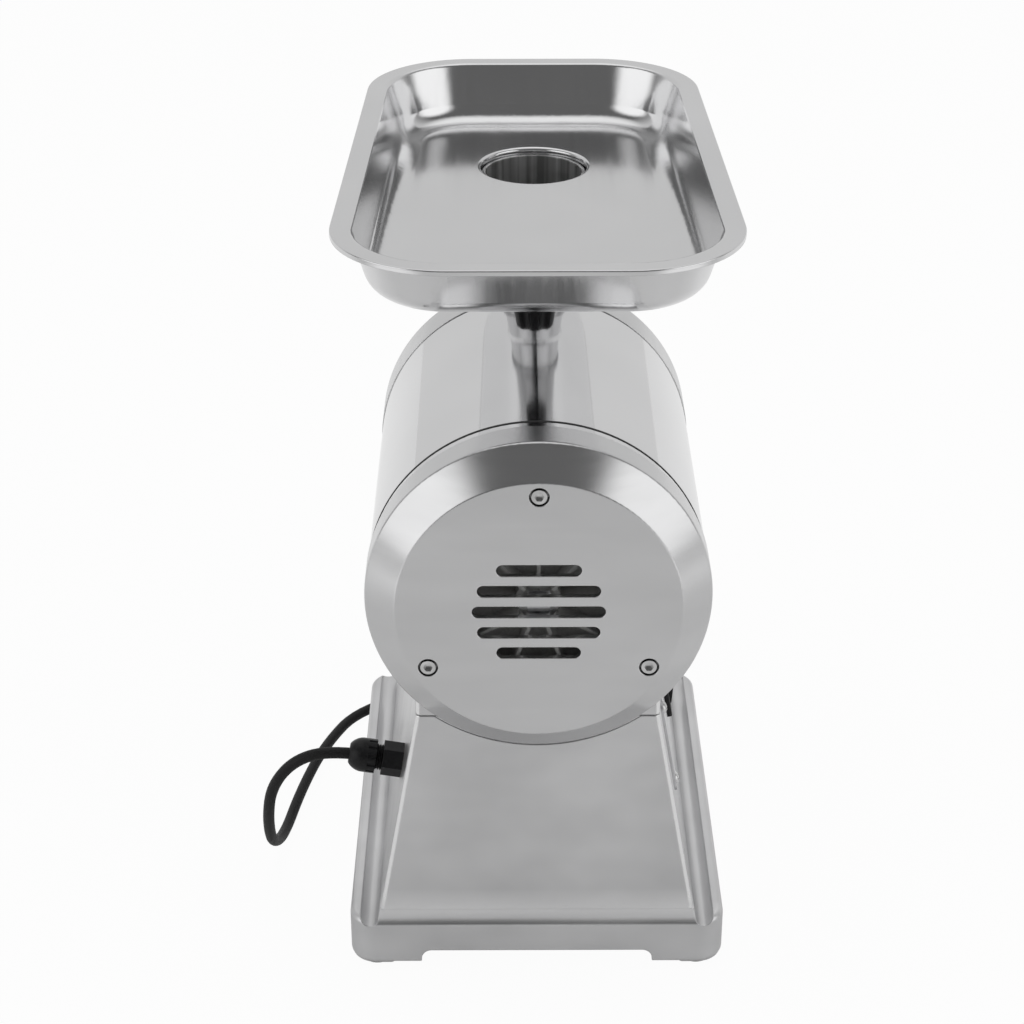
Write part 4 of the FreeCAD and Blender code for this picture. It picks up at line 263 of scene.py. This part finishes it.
ground_casting = metal("ground_casting", dark=(0.61, 0.61, 0.615), light=(0.73, 0.73, 0.735),
                       roughness=(0.285, 0.36), marks=(30.0, 30.0, 60.0), clouds=(16.0, 16.0, 22.0),
                       radius=0.0010, bump=0.0, fine=0.5)
nodes, links = ground_casting.node_tree.nodes, ground_casting.node_tree.links
shader = nodes["Principled BSDF"]
place = nodes.new("ShaderNodeTexCoord")
point = coordinates(nodes, links, place.outputs["Object"])

# Painted highlight: the flare at the foot of the rear wall is painted paler than the wall, and it is duller.
FLARE_BOTTOM = (0.033, 0.036)
FLARE_TOP = (0.042, 0.056)
FLARE_FRONT = (-0.182, -0.172)
FLARE_PAINTED_LIGHT = (0.88, 0.88, 0.885)
FLARE_DULLING = 0.30
flare = product(nodes, links, rise(nodes, links, point["Z"], FLARE_BOTTOM),
                fall(nodes, links, point["Z"], FLARE_TOP))
flare = product(nodes, links, flare, fall(nodes, links, point["Y"], FLARE_FRONT))
paint_over(nodes, links, shader, flare, FLARE_PAINTED_LIGHT)
roughen(nodes, links, shader, flare, FLARE_DULLING)

# Painted highlight: the rear corners of the pedestal are painted brighter than its walls, where the face
# turns from rear to side.
CORNER_FROM_REAR = (0.25, 0.40)
CORNER_TO_SIDE = (0.80, 0.92)
CORNER_BACKWARD = (-0.45, -0.30)
CORNER_BOTTOM = (0.040, 0.048)
CORNER_HIGHLIGHT_COLOUR = (0.95, 0.95, 0.95)
CORNER_POLISH = -0.20
facing = coordinates(nodes, links, place.outputs["Normal"])
sideways = size_of(nodes, links, facing["X"])
corner_highlight = product(nodes, links, rise(nodes, links, sideways, CORNER_FROM_REAR),
                 fall(nodes, links, sideways, CORNER_TO_SIDE))
corner_highlight = product(nodes, links, corner_highlight, fall(nodes, links, facing["Y"], CORNER_BACKWARD))
corner_highlight = product(nodes, links, corner_highlight, rise(nodes, links, point["Z"], CORNER_BOTTOM))
paint_over(nodes, links, shader, corner_highlight, CORNER_HIGHLIGHT_COLOUR)
roughen(nodes, links, shader, corner_highlight, CORNER_POLISH)
dress(ground_casting, "base_casting", "cradle")

# Floor of the base: a steel sheet closed with small pan screws, on four rubber feet.
# The feet are moulded rubber pucks, each held up into its boss by a screw.
dull_sheet = metal("dull_sheet", dark=(0.42, 0.42, 0.43), light=(0.55, 0.55, 0.56), roughness=(0.32, 0.45),
                   marks=(300.0, 20.0, 20.0), clouds=(30.0, 30.0, 30.0), radius=0.0006)
dress(dull_sheet, "bottom_plate", "capacitor_strap")

RECESS_SHADE_COLOUR = (0.03, 0.03, 0.03)
RECESS_SHADE_FULL = 0.10
RECESS_SHADE_NONE = 0.45


# Painted shade: ambient occlusion darkens the colour in recesses, where shade falls.
def paint_recess_shade(material, distance):
    nodes, links = material.node_tree.nodes, material.node_tree.links
    recess = nodes.new("ShaderNodeAmbientOcclusion")
    recess.samples = 6
    recess.inputs["Distance"].default_value = distance
    painted_shade = tint(nodes, links, recess.outputs["AO"], (1.0, 1.0, 1.0), (0.0, 0.0, 0.0), RECESS_SHADE_FULL, RECESS_SHADE_NONE)
    paint_over(nodes, links, nodes["Principled BSDF"], painted_shade, RECESS_SHADE_COLOUR)


bright_screw = metal("bright_screw", dark=(0.60, 0.60, 0.60), light=(0.78, 0.78, 0.78),
                     roughness=(0.18, 0.26), marks=(500.0, 500.0, 500.0), clouds=(120.0, 120.0, 120.0),
                     radius=0.0004)
# Painted shade darkens the hex sockets and the rings round the screw heads.
paint_recess_shade(bright_screw, distance=0.002)
dress(bright_screw, "bottom_plate_screws", "foot_screws", "cradle_screws", "rear_cover_screws",
      "switch_plate_screws", "fan_nut", "plate_pin", "lock_bolt")

MOULDED_SHEEN = 0.22
PORE_DETAIL = 3.0
MOULDED_RELIEF = 0.0002


def moulded(name, dark, light, roughness, pores, radius, bump=0.15):
    material, nodes, links, shader = new_finish(name, light, 0.0, roughness[0])
    pore_grain = grain(nodes, (pores, pores, pores), PORE_DETAIL)
    links.new(tint(nodes, links, pore_grain, dark, light), shader.inputs["Base Color"])
    links.new(spread(nodes, links, pore_grain, *roughness), shader.inputs["Roughness"])
    shader.inputs["Specular IOR Level"].default_value = MOULDED_SHEEN
    soft_edges(nodes, links, shader, radius, pore_grain, bump, MOULDED_RELIEF)
    return material


foot_rubber = moulded("foot_rubber", dark=(0.016, 0.016, 0.016), light=(0.030, 0.030, 0.030),
                      roughness=(0.62, 0.8), pores=900.0, radius=0.0008)
dress(foot_rubber, "rubber_feet", "shaft_seal")

# Motor: laminated core and copper windings inside a cast frame, with its shaft, fan and bearings.
# The parts sit hidden in the barrel, and only the fan and what lies behind it show through the slots.
# The capacitor and the terminal block that feed the motor are moulded and sit inside the base.
cast_inside = metal("cast_inside", dark=(0.56, 0.56, 0.57), light=(0.68, 0.68, 0.69), roughness=(0.42, 0.58),
                    marks=(200.0, 200.0, 200.0), clouds=(40.0, 40.0, 40.0), radius=0.0008, bump=0.2)
dress(cast_inside, "end_bracket", "motor_frame", "gear_plate")

core_plates = metal("core_plates", dark=(0.22, 0.22, 0.23), light=(0.36, 0.36, 0.37), roughness=(0.4, 0.55),
                    marks=(4.0, 1800.0, 4.0), clouds=(60.0, 60.0, 60.0), radius=0.0004)
dress(core_plates, "stator_core", "rotor_core")

winding_copper = metal("winding_copper", dark=(0.42, 0.17, 0.07), light=(0.62, 0.27, 0.12),
                       roughness=(0.29, 0.4), marks=(300.0, 300.0, 300.0), clouds=(90.0, 90.0, 90.0),
                       radius=0.0006)
dress(winding_copper, "stator_windings")

bearing_steel = metal("bearing_steel", dark=(0.52, 0.52, 0.53), light=(0.62, 0.62, 0.63),
                      roughness=(0.14, 0.24), marks=(30.0, 900.0, 30.0), clouds=(60.0, 60.0, 60.0),
                      radius=0.0004)
dress(bearing_steel, "motor_bearings", "layshaft_bearings", "output_bearings")

fan_plastic = moulded("fan_plastic", dark=(0.46, 0.46, 0.45), light=(0.56, 0.56, 0.55),
                      roughness=(0.36, 0.5), pores=700.0, radius=0.0006)
dress(fan_plastic, "cooling_fan")
block_plastic = moulded("block_plastic", dark=(0.020, 0.020, 0.021), light=(0.034, 0.034, 0.035),
                        roughness=(0.36, 0.5), pores=700.0, radius=0.0006)
dress(block_plastic, "terminal_block")
capacitor_case = moulded("capacitor_case", dark=(0.30, 0.30, 0.29), light=(0.36, 0.36, 0.35),
                         roughness=(0.34, 0.45), pores=500.0, radius=0.001)
dress(capacitor_case, "capacitor")

# Gear train: hardened steel pinions, gears and shafts with ground flanks, oiled.
# They ride in bearings between the gear plate and the gear housing.
# The knife and the drilled plate in the head are ground from the same steel.
gear_steel = metal("gear_steel", dark=(0.48, 0.48, 0.49), light=(0.60, 0.60, 0.61), roughness=(0.16, 0.26),
                   marks=(200.0, 30.0, 200.0), clouds=(70.0, 70.0, 70.0), radius=0.0005)
dress(gear_steel, "motor_shaft", "motor_pinion", "layshaft", "layshaft_gear", "layshaft_pinion",
      "output_gear", "output_shaft", "knife", "grinding_plate")

# Barrel: a rolled steel sleeve over the motor, polished until it mirrors the tray above it.
# The rear cover and the gear housing are turned aluminium, with fine turning marks.
polished_sleeve = metal("polished_sleeve", dark=(0.76, 0.76, 0.765), light=(0.81, 0.81, 0.815),
                        roughness=(0.04, 0.08), marks=(240.0, 3.0, 240.0), clouds=(9.0, 9.0, 9.0),
                        radius=0.0006, bump=0.02)
dress(polished_sleeve, "motor_shell")

# The cover's sharp edges are painted paler, as edge wear and as painted highlight.
turned_cover = metal("turned_cover", dark=(0.65, 0.65, 0.655), light=(0.70, 0.70, 0.705),
                     roughness=(0.20, 0.25), marks=(9.0, 60.0, 260.0), clouds=(12.0, 12.0, 40.0),
                     radius=0.0008, bump=0.0, wear_and_highlight=2.0)
# Painted shade darkens the slots, counterbores and other recesses of the cover and gear housing.
paint_recess_shade(turned_cover, distance=0.004)
dress(turned_cover, "rear_cover", "gear_housing")

# Painted shade: a thin black band laid round the barrel just beside the rear cover.
# It draws the shaded seam between the cover and the barrel as one dark line round the edge of the cover.
SEAM_SHADE_WIDTH = 0.0016
SEAM_SHADE_WALL = 0.0002
SEAM_SHADE_PROUD = 0.00002
SEAM_SHADE_OFFSET = 0.0009
SEAM_SHADE_SIDES = 160
SMOOTH_ANGLE = 40.0
shell_low, shell_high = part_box("motor_shell")
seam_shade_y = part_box("rear_cover")[1][1] + SEAM_SHADE_OFFSET
seam_shade_z = (shell_low[2] + shell_high[2]) / 2.0
seam_shade_reach = (shell_high[0] - shell_low[0]) / 2.0 + SEAM_SHADE_PROUD
bpy.ops.object.select_all(action="DESELECT")
bpy.ops.mesh.primitive_cylinder_add(vertices=SEAM_SHADE_SIDES, radius=seam_shade_reach, depth=SEAM_SHADE_WIDTH,
                                    end_fill_type="NOTHING", location=(0.0, seam_shade_y, seam_shade_z),
                                    rotation=(math.pi / 2.0, 0.0, 0.0))
seam_shade = bpy.context.object
seam_shade.name = "cover_seam_shade"
bpy.ops.object.transform_apply(location=True, rotation=True, scale=True)
wall = seam_shade.modifiers.new("sheet", "SOLIDIFY")
wall.thickness = SEAM_SHADE_WALL
wall.offset = 1.0
bpy.ops.object.modifier_apply(modifier=wall.name)
bpy.ops.object.shade_smooth_by_angle(angle=math.radians(SMOOTH_ANGLE))
seam_shade_black = moulded("seam_shade_black", dark=(0.045, 0.045, 0.045), light=(0.075, 0.075, 0.075),
                        roughness=(0.5, 0.65), pores=900.0, radius=0.0002)
seam_shade.data.materials.append(seam_shade_black)
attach(seam_shade, "base")

# Grinding head: a cast steel head with its filling neck, feed screw and ring nut.
# The castings are turned where they fit and polished outside.
# The inside of the neck is left as bored, with dull streaks.
BORE_MARGIN = 0.0005
BORE_DARK = (0.34, 0.34, 0.34)
BORE_LIGHT = (0.72, 0.72, 0.72)
BORE_CONTRAST = (0.38, 0.62)
BORE_STREAKS = (170.0, 170.0, 3.0)
BORE_DETAIL = 2.0
BORE_DULLING = 0.35
head_polish = metal("head_polish", dark=(0.45, 0.45, 0.455), light=(0.53, 0.53, 0.535),
                    roughness=(0.12, 0.20), marks=(60.0, 60.0, 300.0), clouds=(20.0, 20.0, 20.0),
                    radius=0.0012)
throat = next(mount for mount in frame["record"]["mounts"] if mount["name"] == "feed_throat")
nodes, links = head_polish.node_tree.nodes, head_polish.node_tree.links
shader = nodes["Principled BSDF"]
place = nodes.new("ShaderNodeTexCoord")
off_axis = nodes.new("ShaderNodeVectorMath")
off_axis.operation = "SUBTRACT"
off_axis.inputs[1].default_value = throat["pos_m"]
level = nodes.new("ShaderNodeVectorMath")
level.operation = "MULTIPLY"
level.inputs[1].default_value = (1.0, 1.0, 0.0)
reach = nodes.new("ShaderNodeVectorMath")
reach.operation = "LENGTH"
bore = nodes.new("ShaderNodeMath")
bore.operation = "LESS_THAN"
bore.inputs[1].default_value = throat["dims"]["r_mm"] / 1000.0 + BORE_MARGIN
links.new(place.outputs["Object"], off_axis.inputs[0])
links.new(off_axis.outputs["Vector"], level.inputs[0])
links.new(level.outputs["Vector"], reach.inputs[0])
links.new(reach.outputs["Value"], bore.inputs[0])
streaks = grain(nodes, BORE_STREAKS, BORE_DETAIL)
bored = tint(nodes, links, streaks, BORE_DARK, BORE_LIGHT, *BORE_CONTRAST)
paint_over(nodes, links, shader, bore.outputs["Value"], bored)
roughen(nodes, links, shader, bore.outputs["Value"], BORE_DULLING)
dress(head_polish, "head_body", "ring_nut", "auger")

# Tray: pressed from one stainless sheet, with a flat rim and a collar that fits over the filling neck.
# It is polished, with faint lines along its length, and lifts off the neck.
pressed_tray = metal("pressed_tray", dark=(0.70, 0.70, 0.705), light=(0.75, 0.75, 0.755),
                     roughness=(0.11, 0.17), marks=(240.0, 3.0, 40.0), clouds=(8.0, 8.0, 8.0),
                     radius=0.0006, bump=0.02)
dress(pressed_tray, "tray")

# Small black fittings: the lock knob, the cable gland and the switch are moulded plastic.
# The switch sits in a thin satin plate held by four pan screws on the side of the base.
black_plastic = moulded("black_plastic", dark=(0.010, 0.010, 0.011), light=(0.020, 0.020, 0.021),
                        roughness=(0.3, 0.42), pores=800.0, radius=0.0006)
dress(black_plastic, "lock_knob", "gland_body", "gland_nut", "gland_locknut", "switch_body")
rocker_plastic = moulded("rocker_plastic", dark=(0.013, 0.013, 0.014), light=(0.022, 0.022, 0.023),
                         roughness=(0.24, 0.34), pores=900.0, radius=0.0006)
dress(rocker_plastic, "switch_rocker")
satin_plate = metal("satin_plate", dark=(0.62, 0.62, 0.63), light=(0.72, 0.72, 0.73), roughness=(0.285, 0.36),
                    marks=(40.0, 20.0, 700.0), clouds=(40.0, 40.0, 40.0), radius=0.0005)
dress(satin_plate, "switch_plate")

# Mains lead: a black rubber cord of 7 mm that leaves the gland, falls to the table and runs forward.
# Its spare length is wound into a flat coil of two layers in front of the base, held by a cloth tie.
# The moulded plug lies at the end of the coil.
cord_rubber = moulded("cord_rubber", dark=(0.012, 0.012, 0.012), light=(0.022, 0.022, 0.022),
                      roughness=(0.45, 0.6), pores=700.0, radius=0.0006)
dress(cord_rubber, "power_plug")
pin_brass = metal("pin_brass", dark=(0.55, 0.43, 0.20), light=(0.66, 0.53, 0.27), roughness=(0.16, 0.26),
                  marks=(400.0, 40.0, 400.0), clouds=(90.0, 90.0, 90.0), radius=0.0003)
dress(pin_brass, "plug_pins")
tie_cloth = moulded("tie_cloth", dark=(0.015, 0.015, 0.016), light=(0.035, 0.035, 0.036),
                    roughness=(0.8, 0.95), pores=1500.0, radius=0.0003, bump=0.4)
dress(tie_cloth, "cord_tie")

CORD_SIZE = 0.007
CORD_LOW = 0.0046
CORD_ROUTE = [(-0.097935, -0.142, 0.119610), (-0.121575, -0.142, 0.123756), (-0.1445, -0.141, 0.1165),
              (-0.160, -0.136, 0.094), (-0.165, -0.124, 0.062), (-0.166, -0.102, 0.027),
              (-0.163, -0.064, CORD_LOW), (-0.156, -0.012, CORD_LOW), (-0.144, 0.042, CORD_LOW),
              (-0.122, 0.090, CORD_LOW), (-0.060966, 0.115778, CORD_LOW), (-0.026982, 0.121813, CORD_LOW),
              (0.005003, 0.122787, CORD_LOW)]
COIL_CENTRE = (0.012, 0.169, CORD_LOW)
COIL_LOWER_END = 2.0
COIL_UPPER_START = 2.5
COIL_TURNS = 4.5
COIL_STEPS = 16
COIL_WIDE = 0.046
COIL_TIGHT = 0.0284
COIL_PITCH = 0.0088
COIL_LIFT = 0.0086
PLUG_START = (0.005003, 0.215213, 0.0132)
PLUG_SINK = 0.004


def coil_point(turn):
    angle = 2.0 * math.pi * turn - math.pi / 2.0
    if turn <= COIL_LOWER_END:
        radius, lift = COIL_WIDE - COIL_PITCH * turn, 0.0
    elif turn < COIL_UPPER_START:
        climb = (turn - COIL_LOWER_END) / (COIL_UPPER_START - COIL_LOWER_END)
        radius, lift = COIL_TIGHT, COIL_LIFT * (1.0 - math.cos(math.pi * climb)) / 2.0
    else:
        radius, lift = COIL_TIGHT + COIL_PITCH * (turn - COIL_UPPER_START), COIL_LIFT
    # The curve runs a little inside its points, so the points stand out by that share.
    radius /= 0.75 + 0.25 * math.cos(2.0 * math.pi / COIL_STEPS)
    return (COIL_CENTRE[0] + radius * math.cos(angle), COIL_CENTRE[1] + radius * math.sin(angle),
            COIL_CENTRE[2] + lift)


cord_points = list(CORD_ROUTE)
cord_points += [coil_point(step / COIL_STEPS) for step in range(int(COIL_TURNS * COIL_STEPS) + 1)]
cord_points += [PLUG_START, (PLUG_START[0] - PLUG_SINK, PLUG_START[1], PLUG_START[2])]
cord_curve = bpy.data.curves.new("mains_lead", "CURVE")
cord_curve.dimensions = "3D"
cord_curve.bevel_depth = CORD_SIZE / 2.0
cord_curve.bevel_resolution = 6
cord_curve.resolution_u = 8
cord_curve.use_fill_caps = True
cord_line = cord_curve.splines.new("NURBS")
cord_line.points.add(len(cord_points) - 1)
for knot, cord_point in zip(cord_line.points, cord_points):
    knot.co = (*cord_point, 1.0)
cord_line.order_u = 3
cord_line.use_endpoint_u = True
mains_lead = bpy.data.objects.new("mains_lead", cord_curve)
bpy.context.scene.collection.objects.link(mains_lead)
mains_lead.data.materials.append(cord_rubber)
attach(mains_lead, "base")
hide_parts("power_cord", "cord_coil")

# Table: a white top that runs out of sight and looks evenly white to the camera.
# In the polished metal it glows with painted light, brighter in front of the grinder and in a pool on each
# side.
TABLE_SIZE = 12.0
TABLE_COLOUR = (0.80, 0.80, 0.80)
TABLE_ROUGHNESS = 0.6
TABLE_GLOW = 0.96
FRONT_GLARE = (0.26, 0.64)
FRONT_LIMITS = (-0.12, 0.24)
SPOT_GLARE = (0.36, 0.0)
SPOT_WIDTH = (0.08, 0.20)
SPOT_START = (0.10, 0.30)
POOL_GLARE = (0.74, 0.0)
POOL_MIDDLE = (0.95, -0.75, 0.0)
POOL_RADIUS = (0.30, 0.60)
WHITE = (1.0, 1.0, 1.0, 1.0)
bpy.ops.object.select_all(action="DESELECT")
bpy.ops.mesh.primitive_plane_add(size=TABLE_SIZE, location=(0.0, 0.0, 0.0))
table_top = bpy.context.object
table_top.name = "table_top"
table_white, nodes, links, shader = new_finish("table_white", TABLE_COLOUR, 0.0, TABLE_ROUGHNESS)
glow = nodes.new("ShaderNodeEmission")
glow.inputs["Color"].default_value = WHITE
mixed = nodes.new("ShaderNodeMixShader")
path = nodes.new("ShaderNodeLightPath")
mirrored = total(nodes, links, path.outputs["Is Glossy Ray"], path.outputs["Is Transmission Ray"])
place = nodes.new("ShaderNodeTexCoord")
point = coordinates(nodes, links, place.outputs["Object"])
aside = size_of(nodes, links, point["X"])
front = spread(nodes, links, point["Y"], *FRONT_GLARE, *FRONT_LIMITS)
spot = product(nodes, links, spread(nodes, links, aside, *SPOT_GLARE, *SPOT_WIDTH),
               rise(nodes, links, point["Y"], SPOT_START))
folded = nodes.new("ShaderNodeCombineXYZ")
links.new(aside, folded.inputs["X"])
links.new(point["Y"], folded.inputs["Y"])
to_pool = nodes.new("ShaderNodeVectorMath")
to_pool.operation = "DISTANCE"
to_pool.inputs[1].default_value = POOL_MIDDLE
links.new(folded.outputs["Vector"], to_pool.inputs[0])
side_pool = spread(nodes, links, to_pool.outputs["Value"], *POOL_GLARE, *POOL_RADIUS)
glare = total(nodes, links, total(nodes, links, front, spot), side_pool)
seen = total(nodes, links, path.outputs["Is Camera Ray"], product(nodes, links, mirrored, glare))
links.new(product(nodes, links, seen, TABLE_GLOW), mixed.inputs["Fac"])
links.new(shader.outputs["BSDF"], mixed.inputs[1])
links.new(glow.outputs["Emission"], mixed.inputs[2])
links.new(mixed.outputs["Shader"], nodes["Material Output"].inputs["Surface"])
table_top.data.materials.append(table_white)

# Studio tent: a dim room with a soft light panel at each side, a little towards the camera, and one overhead.
# Mirrored rays see it whiter in front of the grinder, and the camera sees it white all round.
ROOM_LEVEL = 0.14
SIDE_PANEL = {"edge": 0.82, "full": 0.95, "level": 1.05}
TOP_PANEL = {"edge": 0.76, "full": 0.97, "level": 0.9}
AHEAD_SHARE = (0.0, 0.63)
AHEAD_LIMITS = (0.02, 0.50)
studio = bpy.data.worlds.new("studio")
bpy.context.scene.world = studio
studio.use_nodes = True
nodes, links = studio.node_tree.nodes, studio.node_tree.links
heading = nodes.new("ShaderNodeTexCoord").outputs["Generated"]


def tent_panel(nodes, links, heading, middle, edge, full, level):
    facing = nodes.new("ShaderNodeVectorMath")
    facing.operation = "DOT_PRODUCT"
    facing.inputs[1].default_value = middle
    links.new(heading, facing.inputs[0])
    fade = nodes.new("ShaderNodeMapRange")
    fade.interpolation_type = "SMOOTHSTEP"
    fade.inputs["From Min"].default_value = edge
    fade.inputs["From Max"].default_value = full
    fade.inputs["To Max"].default_value = level
    links.new(facing.outputs["Value"], fade.inputs["Value"])
    return fade.outputs["Result"]


left_panel = tent_panel(nodes, links, heading, (-0.86, -0.42, 0.30), **SIDE_PANEL)
right_panel = tent_panel(nodes, links, heading, (0.86, -0.42, 0.30), **SIDE_PANEL)
top_panel = tent_panel(nodes, links, heading, (0.0, 0.30, 0.95), **TOP_PANEL)
panels = total(nodes, links, left_panel, right_panel, clamp=False)
panels = total(nodes, links, panels, top_panel, clamp=False)
room = nodes["Background"]
room.inputs["Color"].default_value = WHITE
links.new(total(nodes, links, panels, ROOM_LEVEL, clamp=False), room.inputs["Strength"])
white_room = nodes.new("ShaderNodeBackground")
white_room.inputs["Color"].default_value = WHITE
path = nodes.new("ShaderNodeLightPath")
mirrored = total(nodes, links, path.outputs["Is Glossy Ray"], path.outputs["Is Transmission Ray"])
forward = coordinates(nodes, links, heading)["Y"]
ahead = product(nodes, links, spread(nodes, links, forward, *AHEAD_SHARE, *AHEAD_LIMITS), mirrored)
mixed = nodes.new("ShaderNodeMixShader")
links.new(total(nodes, links, path.outputs["Is Camera Ray"], ahead), mixed.inputs["Fac"])
links.new(room.outputs["Background"], mixed.inputs[1])
links.new(white_room.outputs["Background"], mixed.inputs[2])
links.new(mixed.outputs["Shader"], nodes["World Output"].inputs["Surface"])

# Overhead soft box: one wide lamp over the grinder that lights it and the table from above.
# Neither the camera nor the polished metal sees it, since the tent's panels are what the metal mirrors.
LAMP_SIZE = (1.4, 1.0)
LAMP_WATTS = 9.0
LAMP_PLACE = (0.0, 0.3, 2.2)
LAMP_AIM = (0.0, 0.0, 0.25)
lamp = bpy.data.lights.new("top_soft_box", "AREA")
lamp.shape = "RECTANGLE"
lamp.size, lamp.size_y = LAMP_SIZE
lamp.energy = LAMP_WATTS
soft_box = bpy.data.objects.new("top_soft_box", lamp)
bpy.context.scene.collection.objects.link(soft_box)
soft_box.location = LAMP_PLACE
lamp_tilt = math.atan2(LAMP_PLACE[1] - LAMP_AIM[1], LAMP_PLACE[2] - LAMP_AIM[2])
soft_box.rotation_euler = (lamp_tilt, 0.0, -math.pi)
soft_box.visible_camera = False
soft_box.visible_glossy = False

# Camera: stands behind the grinder and above it, where the photograph was taken from.
# Its place, turn and lens were fitted to the circles and edges in the photograph.
view = bpy.data.cameras.new("photograph_view")
view.lens = 80.859
view.sensor_width = 36.0
view_stand = bpy.data.objects.new("photograph_view", view)
bpy.context.scene.collection.objects.link(view_stand)
view_stand.location = (-0.016466, -1.28898, 0.88832)
view_stand.rotation_euler = [math.radians(angle) for angle in (62.21269, 0.08252, -0.14696)]
bpy.context.scene.camera = view_stand
bpy.context.scene.view_settings.view_transform = "Standard"
